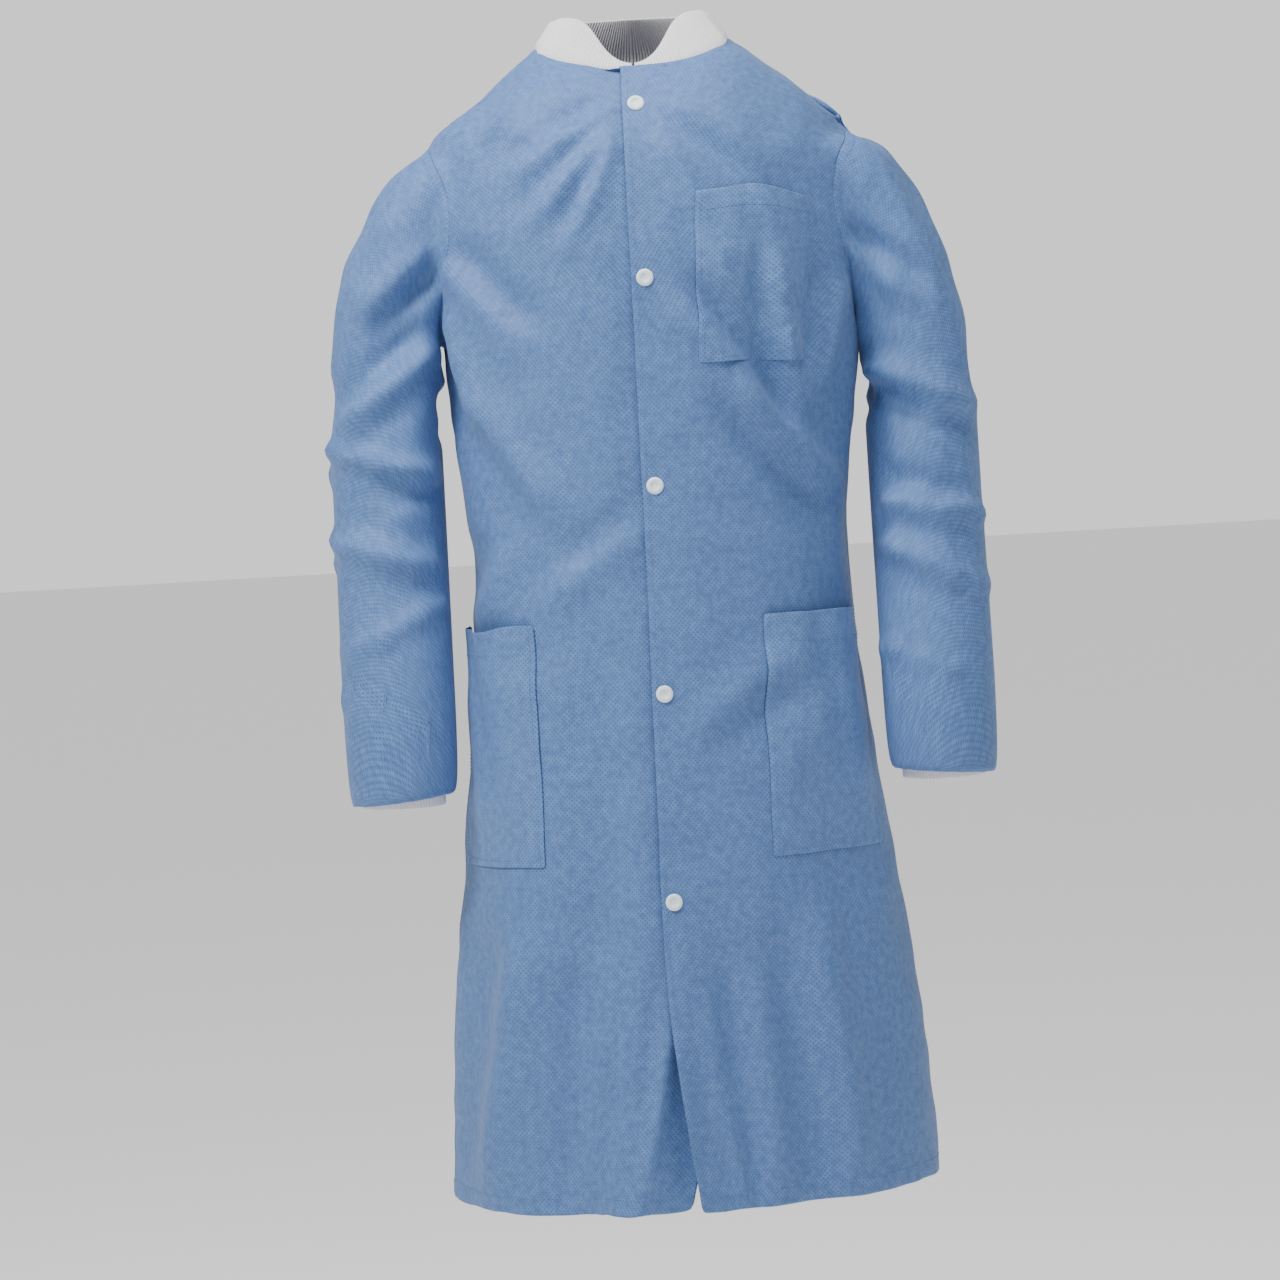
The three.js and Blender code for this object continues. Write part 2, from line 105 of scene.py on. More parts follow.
def value_at(stations, drop):
    if drop <= stations[0][0]:
        return stations[0][1]
    for (from_drop, from_value), (to_drop, to_value) in zip(stations, stations[1:]):
        if drop <= to_drop:
            return mix(from_value, to_value, ease((drop - from_drop) / (to_drop - from_drop)))
    return stations[-1][1]


# %% [markdown]
# ## The resting shape of the cloth
# A shell round the body gives the place of every point of the cloth before it is draped.
# Below the bust each level is an ellipse. Above it, front and back lean towards each other and
# meet in the shoulder seams.

# %% The shell
def shoulder_line_drop(x):
    return shoulder_drop * max(0.0, (abs(x) - neck_half_width) / (shoulder_half_width - neck_half_width))


def shell_point(angle, level):
    turn = math.radians(angle)
    front = math.cos(turn) > 0
    rise = min(max((bust_drop - level) / bust_drop, 0.0), 1.0)
    x = value_at(half_widths, level) * math.sin(turn)
    depth = value_at(front_depths if front else back_depths, level)
    roundness = front_roundness if front else back_roundness
    y = -depth * (1 - rise * rise) ** roundness * math.cos(turn)
    z = -level if level >= bust_drop else -bust_drop + rise * (bust_drop - shoulder_line_drop(x))
    return np.array((x, y, z))


def trimmed_level(angle, level):
    if level >= bust_drop:
        return level
    from_front = abs(angle - 360 if angle > 180 else angle)
    front = from_front < 90
    from_middle = from_front if front else 180 - from_front
    if from_middle >= neck_angle:
        return level
    dip = (front_neck_drop if front else back_neck_drop) * math.sqrt(1 - (from_middle / neck_angle) ** 2)
    return bust_drop - (bust_drop - level) * (1 - dip / bust_drop)


def cloth_place(angle, level):
    return shell_point(angle, trimmed_level(angle, level))


def armhole_angle(level):
    rise = min(max((armpit_drop - level) / armpit_drop, 0.0), 1.0)
    return armhole_half_angle * math.sin(math.pi * rise) ** 0.8


def shell_outward(angle, level):
    step = 0.003
    high = max(level - step, 0.001)
    across = shell_point(angle + 1, level) - shell_point(angle - 1, level)
    up = shell_point(angle, high) - shell_point(angle, high + 2 * step)
    normal = np.cross(across, up)
    return normal / np.linalg.norm(normal)


# %% [markdown]
# ## Cutting the cloth
# The real coat is cut flat: one back, two fronts and two sleeves. Here each panel is a grid of points
# over the shell, with the same rows, so neighbouring panels share the points of their seam and can be
# welded into one garment for the drape.

# %% Rows and columns of the grids
body_rows, armpit_rows, bust_rows = 62, 6, 24
neck_columns, shoulder_columns = 10, 16
overlap_past_centre = 0.013
below = np.linspace(coat_drop, armpit_drop, body_rows + 1)
beside = np.linspace(armpit_drop, bust_drop, armpit_rows + 1)[1:]
above = bust_drop * (1 - np.sin(np.linspace(0, math.pi / 2, bust_rows + 1)[1:]))
levels = np.concatenate([below, beside, above])
chest_rows = armpit_rows + bust_rows
edge_angle = -math.degrees(math.asin(overlap_past_centre / chest_half_width))
print(len(levels), "rows; the front edge lies", round(edge_angle, 1), "degrees past the centre")


def shares(first_count, first_share, second_count):
    first = np.linspace(0, first_share, first_count + 1)
    return np.concatenate([first, np.linspace(first_share, 1, second_count + 1)[1:]])


def panel_grid(angle_from, angle_to, across):
    """Points of a panel, as rows from the hem up, each with its columns."""
    return np.array([[cloth_place(mix(angle_from(level), angle_to(level), share), level)
                      for share in across] for level in levels])


# %% The fronts and the back
left_shares = shares(neck_columns, (neck_angle - edge_angle) / (90 - edge_angle), shoulder_columns)
right_shares = shares(neck_columns, (neck_angle + edge_angle) / (90 + edge_angle), shoulder_columns)
back_share = (90 - neck_angle) / 180
back_shares = np.concatenate([np.linspace(0, back_share, shoulder_columns + 1),
                              np.linspace(back_share, 1 - back_share, 2 * neck_columns + 1)[1:],
                              np.linspace(1 - back_share, 1, shoulder_columns + 1)[1:]])


def armhole_front(level):
    return 90 - armhole_angle(level)


def armhole_back(level):
    return 90 + armhole_angle(level)


mirror = np.array((-1.0, 1.0, 1.0))
grids = {}
grids["left_front"] = panel_grid(lambda level: edge_angle, armhole_front, left_shares)
right_half = panel_grid(lambda level: -edge_angle, armhole_front, right_shares)
grids["right_front"] = right_half[:, ::-1] * mirror
grids["back"] = panel_grid(armhole_back, lambda level: 360 - armhole_back(level), back_shares)
print({name: grid.shape[:2] for name, grid in grids.items()})

# %% [markdown]
# A sleeve is a tube that starts on the armhole's own points and ends gathered at the cuff. Its upper
# rings run in a curve from the armhole down to the first level ring, as a set-in sleeve does.

# %% The sleeves
cuff_low, cuff_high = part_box("left_cuff")
sleeve_end_drop = -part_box("left_sleeve")[0][2]
sleeve_join_drop = 0.325
sleeve_centre_x = 0.5 * (cuff_low[0] + cuff_high[0])
wrist_y = 0.5 * (cuff_low[1] + cuff_high[1])
cuff_radius = 0.5 * (cuff_high[0] - cuff_low[0])
elbow_half_width, elbow_half_depth = 0.049, 0.058
wrist_half_width, wrist_half_depth = 0.043, 0.045
gather_start, gather_length = 0.93, 0.07
gathered_radius = cuff_radius + 0.001
cap_bend = np.array((0.85, 0.6, 0.25))
cap_rows, arm_rows = 20, 33


def sleeve_centre(drop):
    forward = ease((drop - sleeve_join_drop) / (sleeve_end_drop - sleeve_join_drop))
    return np.array((sleeve_centre_x, wrist_y * forward, -drop))


def sleeve_ring(turns, drop, half_width, half_depth):
    around = 2 * math.pi * turns
    ring = np.stack([half_width * np.cos(around), -half_depth * np.sin(around), 0 * around], axis=1)
    return sleeve_centre(drop) + ring


def sleeve_grid():
    front_edge = grids["left_front"][-1:-chest_rows - 2:-1, -1]
    back_edge = grids["back"][-chest_rows - 1:, 0]
    armhole = np.concatenate([front_edge, back_edge[1:-1]])
    turns = np.arange(len(armhole)) / len(armhole)
    join = sleeve_ring(turns, sleeve_join_drop, elbow_half_width, elbow_half_depth)
    bend = mix(armhole, join, cap_bend)
    rows = []
    for t in np.linspace(0, 1, cap_rows + 1):
        rows.append((1 - t) ** 2 * armhole + 2 * t * (1 - t) * bend + t * t * join)
    for t in np.linspace(0, 1, arm_rows + 1)[1:]:
        drop = mix(sleeve_join_drop, sleeve_end_drop, t)
        gathered = ease((t - gather_start) / gather_length)
        wide = mix(elbow_half_width, wrist_half_width, ease(t))
        deep = mix(elbow_half_depth, wrist_half_depth, ease(t))
        half_width = mix(wide, gathered_radius, gathered)
        half_depth = mix(deep, gathered_radius, gathered)
        rows.append(sleeve_ring(turns, drop, half_width, half_depth))
    return np.array(rows)


grids["left_sleeve"] = sleeve_grid()
grids["right_sleeve"] = grids["left_sleeve"] * mirror
print("sleeve grid", grids["left_sleeve"].shape[:2])

# %% [markdown]
# ## The cut is larger than the body
# Cloth folds because there is more of it than the shape under it needs. A second copy of every grid
# holds the cut size: a wider body, longer and wider sleeves, and sleeves cut for slightly raised arms,
# so that the lowered arm leaves spare cloth at the armpit.

# %% The cut size of every panel
body_ease, body_length_ease = 0.045, 1.012
body_ease_start, body_ease_spread = 0.05, 0.30
sleeve_girth_ease, sleeve_length_ease = 0.08, 0.10
sleeve_raise = math.radians(16)


def cut_body(grid):
    cut = grid.copy()
    for row, level in enumerate(levels):
        cut[row, :, :2] *= 1 + body_ease * ease((level - body_ease_start) / body_ease_spread)
    cut[..., 2] *= body_length_ease
    return cut


def cut_sleeve(grid, sign):
    cut = grid.copy()
    pivot = np.array((sign * shoulder_half_width, 0.0, -shoulder_drop))
    for row in range(1, len(grid)):
        part = ease(row / cap_rows)
        centre = grid[row].mean(axis=0)
        ring = centre + (grid[row] - centre) * (1 + sleeve_girth_ease * part)
        ring[:, 2] -= sleeve_length_ease * max(0.0, -shoulder_drop - centre[2]) * part
        reach = ring - pivot
        angle = sign * sleeve_raise * part
        cut[row, :, 0] = pivot[0] + reach[:, 0] * math.cos(angle) - reach[:, 2] * math.sin(angle)
        cut[row, :, 2] = pivot[2] + reach[:, 0] * math.sin(angle) + reach[:, 2] * math.cos(angle)
        cut[row, :, 1] = ring[:, 1]
    return cut


cuts = {name: cut_body(grids[name]) for name in ("left_front", "right_front", "back")}
for side, edge_column, back_column in (("left", -1, 0), ("right", 0, -1)):
    cuts[f"{side}_sleeve"] = cut_sleeve(grids[f"{side}_sleeve"], signs[side])
    cuts[f"{side}_sleeve"][0, :chest_rows + 1] = cuts[f"{side}_front"][-1:-chest_rows - 2:-1, edge_column]
    cuts[f"{side}_sleeve"][0, chest_rows + 1:] = cuts["back"][-chest_rows:-1, back_column]

# %% Weld the grids into one garment
all_points = np.concatenate([grid.reshape(-1, 3) for grid in grids.values()])
all_cuts = np.concatenate([cuts[name].reshape(-1, 3) for name in grids])
_, first_index, welded_index = np.unique(np.round(all_points, 5) + 0.0, axis=0, return_index=True,
                                         return_inverse=True)
welded_index = welded_index.reshape(-1)
index_grids = {}
offset = 0
for name, grid in grids.items():
    rows, columns = grid.shape[:2]
    index_grids[name] = welded_index[offset:offset + rows * columns].reshape(rows, columns)
    offset += rows * columns


def grid_faces(index, wraps=False, flipped=False):
    rows, columns = index.shape
    faces = []
    for j in range(rows - 1):
        for i in range(columns if wraps else columns - 1):
            k = (i + 1) % columns
            quad = (index[j, i], index[j, k], index[j + 1, k], index[j + 1, i])
            faces.append(quad[::-1] if flipped else quad)
    return faces


garment_faces = []
for name, index in index_grids.items():
    garment_faces += grid_faces(index, wraps="sleeve" in name, flipped=name == "right_sleeve")
garment_faces = [[int(v) for v in dict.fromkeys(face)] for face in garment_faces]
garment_faces = [face for face in garment_faces if len(face) > 2]
start_points = all_points[first_index]
cut_points = all_cuts[first_index]
print(len(start_points), "points and", len(garment_faces), "faces in the welded garment")


# %% [markdown]
# ## Draping
# A wearer's shape holds the coat up in real life. A plain hidden form does it here: a torso and two
# arms, a little smaller than the coat. The neckline and the cuff ends are held, and everything else
# falls. The form is deleted afterwards.

# %% Mesh helpers
def link_mesh(name, mesh):
    obj = bpy.data.objects.new(name, mesh)
    bpy.context.scene.collection.objects.link(obj)
    return obj


def mesh_object(name, points, faces):
    mesh = bpy.data.meshes.new(name)
    mesh.from_pydata([tuple(p) for p in points], [], [tuple(f) for f in faces])
    mesh.validate()
    mesh.update()
    mesh.polygons.foreach_set("use_smooth", [True] * len(mesh.polygons))
    return link_mesh(name, mesh)


def face_outwards(obj):
    mesh = bmesh.new()
    mesh.from_mesh(obj.data)
    bmesh.ops.recalc_face_normals(mesh, faces=mesh.faces)
    mesh.to_mesh(obj.data)
    mesh.free()


def closed_tube(name, rings):
    """A tube through rings of points, with both ends closed."""
    count = len(rings[0])
    index = np.arange(len(rings) * count).reshape(len(rings), count)
    faces = grid_faces(index, wraps=True)
    faces.append(list(index[0][::-1]))
    faces.append(list(index[-1]))
    obj = mesh_object(name, rings.reshape(-1, 3), faces)
    face_outwards(obj)
    return obj


# %% The hidden form
form_end = 1.03
form_insets = [(0.0, 0.005), (bust_drop, 0.007), (waist_drop, 0.020), (0.60, 0.015), (form_end, 0.011)]
upper_form_levels = np.linspace(0.012, bust_drop, 16)
lower_form_levels = np.linspace(0.24, form_end, 30)
form_angles = np.linspace(0, 360, 64, endpoint=False)
arm_sides = 28


def make_form():
    torso = []
    for level in np.concatenate([[0.001, 0.005], upper_form_levels, lower_form_levels]):
        inset = value_at(form_insets, level)
        torso.append([shell_point(a, level) - inset * shell_outward(a, level) for a in form_angles])
    parts = [closed_tube("form_torso", np.array(torso))]
    turns = np.arange(arm_sides) / arm_sides
    for side in (1, -1):
        arm = [sleeve_ring(turns, 0.105, 0.030, 0.040) + np.array((-0.062, 0, 0)),
               sleeve_ring(turns, 0.130, 0.040, 0.046) + np.array((-0.045, 0, 0)),
               sleeve_ring(turns, 0.200, 0.042, 0.048) + np.array((-0.012, 0, 0))]
        for drop in np.linspace(0.26, 0.70, 18):
            thin = ease((drop - 0.3) / 0.4)
            arm.append(sleeve_ring(turns, drop, mix(0.040, 0.027, thin), mix(0.046, 0.029, thin)))
        parts.append(closed_tube("form_arm", np.array(arm) * np.array((side, 1, 1))))
    for part in parts:
        part.modifiers.new("solid", "COLLISION")
        part.collision.thickness_outer = 0.003
        part.collision.cloth_friction = 8
        part.hide_render = True
    return parts


# %% Run the drape
drape_frames = 36
wobble = np.random.default_rng(7)


def drape():
    garment = mesh_object("garment", start_points + wobble.normal(0, 0.0006, start_points.shape),
                          garment_faces)
    garment.shape_key_add(name="worn")
    cut_key = garment.shape_key_add(name="cut")
    cut_key.data.foreach_set("co", cut_points.astype(np.float32).ravel())
    cut_key.value = 0.0
    held = garment.vertex_groups.new(name="held")
    neckline = np.concatenate([index_grids[name][-1] for name in ("left_front", "right_front", "back")])
    neckline = [int(v) for v in neckline if abs(start_points[v][0]) <= neck_half_width + 0.001]
    wrists = [int(v) for name in ("left_sleeve", "right_sleeve") for v in index_grids[name][-1]]
    held.add(neckline + wrists, 1.0, "REPLACE")
    cloth = garment.modifiers.new("drape", "CLOTH")
    settings = cloth.settings
    settings.quality = 6
    settings.mass = 0.08
    settings.air_damping = 2.0
    settings.tension_stiffness = settings.compression_stiffness = 30
    settings.shear_stiffness = 12
    settings.bending_stiffness = 1.2
    settings.vertex_group_mass = "held"
    settings.rest_shape_key = cut_key
    cloth.collision_settings.distance_min = 0.003
    cloth.collision_settings.use_self_collision = False
    cloth.point_cache.frame_start = 1
    cloth.point_cache.frame_end = drape_frames
    form = make_form()
    scene = bpy.context.scene
    for number in range(1, drape_frames + 1):
        scene.frame_set(number)
    shown = garment.evaluated_get(bpy.context.evaluated_depsgraph_get())
    flat = np.empty(len(garment.data.vertices) * 3, np.float32)
    shown.data.vertices.foreach_get("co", flat)
    scene.frame_set(1)
    for obj in [garment] + form:
        bpy.data.objects.remove(obj)
    return flat.reshape(-1, 3).astype(float)


draped = drape()
moved = np.linalg.norm(draped - start_points, axis=1)
print(f"draped: points moved {1000 * moved.mean():.1f} mm on average, {1000 * moved.max():.1f} mm at most")


# %% [markdown]
# ## Folds that the wearer's pose presses in
# The simulation gives the hang. Folds that come from wearing, such as the pull from the top snap and
# the crushed sleeves, are added on top: each is a ridge with a valley beside it, along a line in the
# front view. A fine crumple over everything keeps the cloth from looking pressed.

# %% Normals of the draped points
def point_normals(points, faces):
    normals = np.zeros_like(points)
    for face in faces:
        a, b, c = points[face[0]], points[face[1]], points[face[2]]
        normal = np.cross(b - a, c - a)
        for corner in face:
            normals[corner] += normal
    return normals / np.maximum(np.linalg.norm(normals, axis=1, keepdims=True), 1e-12)


# %% The shape of one fold
fold_depth = 2.3
fade_in, fade_out = 0.22, 0.30
valley_offset, valley_spread, valley_share = 1.7, 1.1, 0.75


def fade(values):
    inside = np.clip(values, 0, 1)
    return inside * inside * (3 - 2 * inside)


def fold(points, start, end, width, height):
    """Heights of a ridge with a valley below it, along a line between two (x, z) places."""
    start, end = np.array(start), np.array(end)
    along = end - start
    length = np.linalg.norm(along)
    along = along / length
    offsets = points[:, (0, 2)] - start
    travelled = offsets @ along
    away = offsets @ np.array((-along[1], along[0]))
    ends = fade(travelled / (fade_in * length)) * fade((length - travelled) / (fade_out * length))
    ridge = np.exp(-(away / width) ** 2)
    valley = np.exp(-((away + valley_offset * width) / (valley_spread * width)) ** 2)
    return fold_depth * height * ends * (ridge - valley_share * valley)


# %% The folds, as (start x, start z, end x, end z, width, height)
body_folds = [
    (-0.012, -0.060, -0.128, -0.128, 0.0065, 0.0042),
    (-0.012, -0.074, -0.112, -0.176, 0.0075, 0.0046),
    (-0.012, -0.084, -0.072, -0.196, 0.0070, 0.0036),
    (-0.084, -0.030, -0.142, -0.092, 0.0080, 0.0036),
    (0.018, -0.058, 0.112, -0.120, 0.0080, 0.0030),
    (0.014, -0.075, 0.060, -0.180, 0.0070, 0.0026),
    (-0.172, -0.170, -0.095, -0.262, 0.0100, -0.0060),
    (-0.178, -0.225, -0.150, -0.345, 0.0110, 0.0060),
    (-0.165, -0.300, -0.082, -0.432, 0.0130, 0.0050),
    (0.105, -0.190, 0.138, -0.385, 0.0100, 0.0056),
    (0.030, -0.205, 0.165, -0.395, 0.0130, -0.0058),
    (0.062, -0.300, 0.170, -0.425, 0.0120, 0.0052),
    (0.172, -0.215, 0.145, -0.330, 0.0090, 0.0050),
    (-0.130, -0.440, -0.165, -0.520, 0.0140, 0.0040),
    (-0.005, -0.430, -0.120, -0.500, 0.0120, 0.0026),
    (0.010, -0.620, 0.120, -0.540, 0.0140, 0.0026),
    (-0.138, -0.765, -0.190, -1.060, 0.0180, 0.0062),
    (-0.066, -0.785, -0.086, -1.060, 0.0160, 0.0042),
    (0.112, -0.765, 0.148, -1.060, 0.0180, 0.0060),
    (0.060, -0.800, 0.070, -1.060, 0.0150, 0.0040),
    (-0.004, -0.775, -0.030, -1.060, 0.0080, 0.0034),
    (0.004, -0.775, 0.034, -1.060, 0.0080, 0.0034),
]
right_sleeve_folds = [
    (-0.172, -0.185, -0.262, -0.262, 0.0100, -0.0050),
    (-0.180, -0.255, -0.290, -0.340, 0.0110, 0.0068),
    (-0.310, -0.345, -0.180, -0.385, 0.0090, 0.0078),
    (-0.310, -0.425, -0.185, -0.468, 0.0105, 0.0072),
    (-0.185, -0.480, -0.305, -0.548, 0.0110, 0.0070),
    (-0.300, -0.530, -0.185, -0.630, 0.0100, -0.0085),
]
left_sleeve_folds = [
    (0.172, -0.170, 0.262, -0.240, 0.0100, -0.0050),
    (0.185, -0.300, 0.300, -0.352, 0.0100, 0.0075),
    (0.190, -0.402, 0.310, -0.425, 0.0090, -0.0085),
    (0.185, -0.452, 0.305, -0.520, 0.0110, 0.0072),
    (0.180, -0.540, 0.300, -0.600, 0.0105, 0.0080),
]

# %% Iron out the jitter of the simulation
smoothing_rounds, smoothing_share = 4, 0.5
face_edges = [(face[k], face[(k + 1) % len(face)]) for face in garment_faces for k in range(len(face))]
edge_pairs = np.unique(np.sort(np.array(face_edges), axis=1), axis=0)
border = np.zeros(len(draped), bool)
for side in ("left", "right"):
    border[index_grids[f"{side}_sleeve"][-1]] = True
for panel in ("left_front", "right_front", "back"):
    border[index_grids[panel][0]] = True
    border[index_grids[panel][-1]] = True
for _ in range(smoothing_rounds):
    total, count = np.zeros_like(draped), np.zeros(len(draped))
    for one, other in ((0, 1), (1, 0)):
        np.add.at(total, edge_pairs[:, one], draped[edge_pairs[:, other]])
        np.add.at(count, edge_pairs[:, one], 1)
    mean = total / count[:, None]
    draped = np.where(border[:, None], draped, mix(draped, mean, smoothing_share))

# %% Press the folds in
sleeve_fade_rows = 5
behind_start_shift, behind_end_shift = -0.03, 0.01
normals = point_normals(draped, garment_faces)
sleeve_share = {}
for side in ("left", "right"):
    part = np.zeros(len(draped))
    for row, indices in enumerate(index_grids[f"{side}_sleeve"]):
        part[indices] = ease(row / sleeve_fade_rows)
    sleeve_share[side] = part
body_share = 1 - np.maximum(sleeve_share["left"], sleeve_share["right"])
facing_front = fade((0.35 - normals[:, 1]) / 0.7)
heights = np.zeros(len(draped))
for x0, z0, x1, z1, width, height in body_folds:
    heights += body_share * facing_front * fold(draped, (x0, z0), (x1, z1), width, height)
for side, folds in (("right", right_sleeve_folds), ("left", left_sleeve_folds)):
    for x0, z0, x1, z1, width, height in folds:
        front = fold(draped, (x0, z0), (x1, z1), width, height)
        behind = fold(draped, (x0, z0 + behind_start_shift), (x1, z1 + behind_end_shift), width, height)
        heights += sleeve_share[side] * mix(behind, front, facing_front)


# %% Crumple the cloth
broad_crumples, small_crumples, broad_share = 17, 41, 0.7
crumple_level = 0.55
crumple_depth, sleeve_extra_depth = 0.0034, 0.0024
calm_neck_drop, calm_neck_reach, least_at_neck = 0.004, 0.05, 0.15


def crumple(point):
    """Ridged noise: sharp little crests between soft hollows."""
    slanted = Vector((point[0] + 0.4 * point[2], point[1], point[2] - 0.3 * point[0]))
    broad = 1 - 2 * abs(noise.noise(slanted * broad_crumples))
    small = 1 - 2 * abs(noise.noise(slanted * small_crumples + Vector((5, 3, 1))))
    return broad_share * broad + (1 - broad_share) * small - crumple_level


crumpled = np.array([crumple(point) for point in draped])
depth_here = crumple_depth + sleeve_extra_depth * (1 - body_share)
below_neck = fade(-(draped[:, 2] + calm_neck_drop) / calm_neck_reach)
heights = (heights + depth_here * crumpled) * np.maximum(below_neck, least_at_neck)
draped = draped + heights[:, None] * normals

# The raised folds must not carry the coat past its real depth, so below the neck it is a touch flatter.
flattening, flat_from, flat_spread = 0.035, 0.08, 0.17
draped[:, 1] *= 1 - flattening * np.array([ease((-z - flat_from) / flat_spread) for z in draped[:, 2]])
print(f"folds between {1000 * heights.min():.1f} and {1000 * heights.max():.1f} mm")

# %% [markdown]
# The end of a sleeve bags out over the knit cuff, so that the seam to the cuff is hidden inside.

# %% Bag the sleeves over the cuffs
bag_rows, bag_fullness, bag_sag = 30, 0.011, 0.026
bag_clearance, swell_rows, sag_row, sag_rows = 0.003, 1.5, 2, 2.4
least_sag, outer_sag = 0.75, 0.4
cuff_centre = sleeve_centre(sleeve_end_drop)


def bag_sleeve(side):
    indices = index_grids[f"{side}_sleeve"]
    centre = cuff_centre * np.array((signs[side], 1, 1))
    last = len(indices) - 1
    for row in range(last - bag_rows, last):
        above = last - row
        full = cuff_radius + bag_clearance + bag_fullness * (1 - math.exp(-above / swell_rows))
        ring = draped[indices[row]]
        away = ring[:, :2] - centre[:2] - (sleeve_centre(-ring[:, 2].mean()) - cuff_centre)[:2]
        radius = np.linalg.norm(away, axis=1, keepdims=True)
        ring[:, :2] += away / radius * np.maximum(full - radius, 0)
        outer_side = 0.5 + 0.5 * away[:, 0] * signs[side] / radius[:, 0]
        sag = bag_sag * math.exp(-((above - sag_row) / sag_rows) ** 2)
        ring[:, 2] -= sag * (least_sag + outer_sag * outer_side)
        draped[indices[row]] = ring


for side in ("left", "right"):
    bag_sleeve(side)


# %% [markdown]
# ## Panels from the draped cloth
# The draped points are read back panel by panel. The grids give each panel its rows and columns, so
# the flat cut size of a panel is known, and its UV map can be that flat cut, in metres. The bond
# pattern of the cloth then keeps its real scale and follows every fold.

# %% Flat distances over a grid
def flat_lengths(cut_grid):
    """Distances in metres along the rows and up the columns of the flat cut."""
    across = np.linalg.norm(np.diff(cut_grid, axis=1), axis=2)
    up = np.linalg.norm(np.diff(cut_grid, axis=0), axis=2)
    u = np.concatenate([np.zeros((len(across), 1)), np.cumsum(across, axis=1)], axis=1)
    v = np.concatenate([np.zeros((1, up.shape[1])), np.cumsum(up, axis=0)], axis=0)
    u -= u.mean(axis=1, keepdims=True)
    return u, v


def grid_area(grid):
    a = grid[1:, :-1] - grid[:-1, :-1]
    b = grid[:-1, 1:] - grid[:-1, :-1]
    c = grid[1:, :-1] - grid[1:, 1:]
    d = grid[:-1, 1:] - grid[1:, 1:]
    first = np.linalg.norm(np.cross(a, b), axis=2)
    second = np.linalg.norm(np.cross(c, d), axis=2)
    return 0.5 * float(first.sum() + second.sum())


worn = {name: draped[index] for name, index in index_grids.items()}
cut_grids = {name: cut_points[index] for name, index in index_grids.items()}
print({name: round(grid_area(grid), 3) for name, grid in cut_grids.items()}, "square metres cut")


# %% Normals of a grid of points
def grid_normals(grid, wraps=False):
    if wraps:
        padded_grid = np.concatenate([grid[:, -1:], grid, grid[:, :1]], axis=1)
        across = padded_grid[:, 2:] - padded_grid[:, :-2]
    else:
        across = np.gradient(grid, axis=1)
    up = np.gradient(grid, axis=0)
    normals = np.cross(across, up)
    length = np.linalg.norm(normals, axis=2, keepdims=True)
    return normals / np.maximum(length, 1e-9)


# %% One sheet of cloth from a grid
cloth_thickness = 0.0006


def sheet_piece(name, grid, u, v, wraps=False, flipped=False):
    rows, columns = grid.shape[:2]
    index = np.arange(rows * columns).reshape(rows, columns)
    obj = mesh_object(name, grid.reshape(-1, 3), grid_faces(index, wraps, flipped))
    flat_u, flat_v = u.ravel(), v.ravel()
    girth = float(u.max() - u.min()) * columns / max(columns - 1, 1)
    uv_map = obj.data.uv_layers.new(name="cut")
    for face in obj.data.polygons:
        corners = [(loop, obj.data.loops[loop].vertex_index) for loop in face.loop_indices]
        seam = wraps and {0, columns - 1} <= {vertex % columns for _, vertex in corners}
        for loop, vertex in corners:
            shift = girth if seam and vertex % columns == 0 else 0.0
            uv_map.data[loop].uv = (flat_u[vertex] + shift, flat_v[vertex])
    solid = obj.modifiers.new("thickness", "SOLIDIFY")
    solid.thickness = cloth_thickness
    solid.offset = -1.0
    smooth = obj.modifiers.new("smooth", "SUBSURF")
    smooth.levels = smooth.render_levels = 1
    plain_mesh(obj)
    return obj


def plain_mesh(obj):
    """Bakes an object's modifiers into a plain mesh at the origin."""
    shown = obj.evaluated_get(bpy.context.evaluated_depsgraph_get())
    mesh = bpy.data.meshes.new_from_object(shown, preserve_all_data_layers=True,
                                           depsgraph=bpy.context.evaluated_depsgraph_get())
    obj.modifiers.clear()
    old = obj.data
    obj.data = mesh
    bpy.data.meshes.remove(old)


# %% [markdown]
# ## The front closure
# The wearer's left front laps over the right one. Both came out of the drape as one closed sheet, so
# the lap is made here: the right front dips a little at the edge and carries on underneath. Below the
# last snap nothing holds the fronts together, and they part towards the hem.

# %% The two fronts part below the last snap
lap = 0.035
lap_depth, dip_reach = 0.0046, 0.03
part_start, part_reach, part_curve = 0.80, 0.12, 1.6
part_width, left_share_of_part = 0.054, 0.44


def distances_across(name):
    grid = cut_grids[name]
    across = np.linalg.norm(np.diff(grid, axis=1), axis=2)
    walked = np.concatenate([np.zeros((len(across), 1)), np.cumsum(across, axis=1)], axis=1)
    return walked if name == "left_front" else walked[:, -1:] - walked


def parted(grid, distances, toward):
    moved_grid = grid.copy()
    for row, level in enumerate(levels):
        if level > part_start:
            amount = ((level - part_start) / (coat_drop - part_start)) ** part_curve
            near_edge = np.array([ease(1 - d / part_reach) for d in distances[row]])
            moved_grid[row, :, 0] += toward * amount * near_edge
    return moved_grid


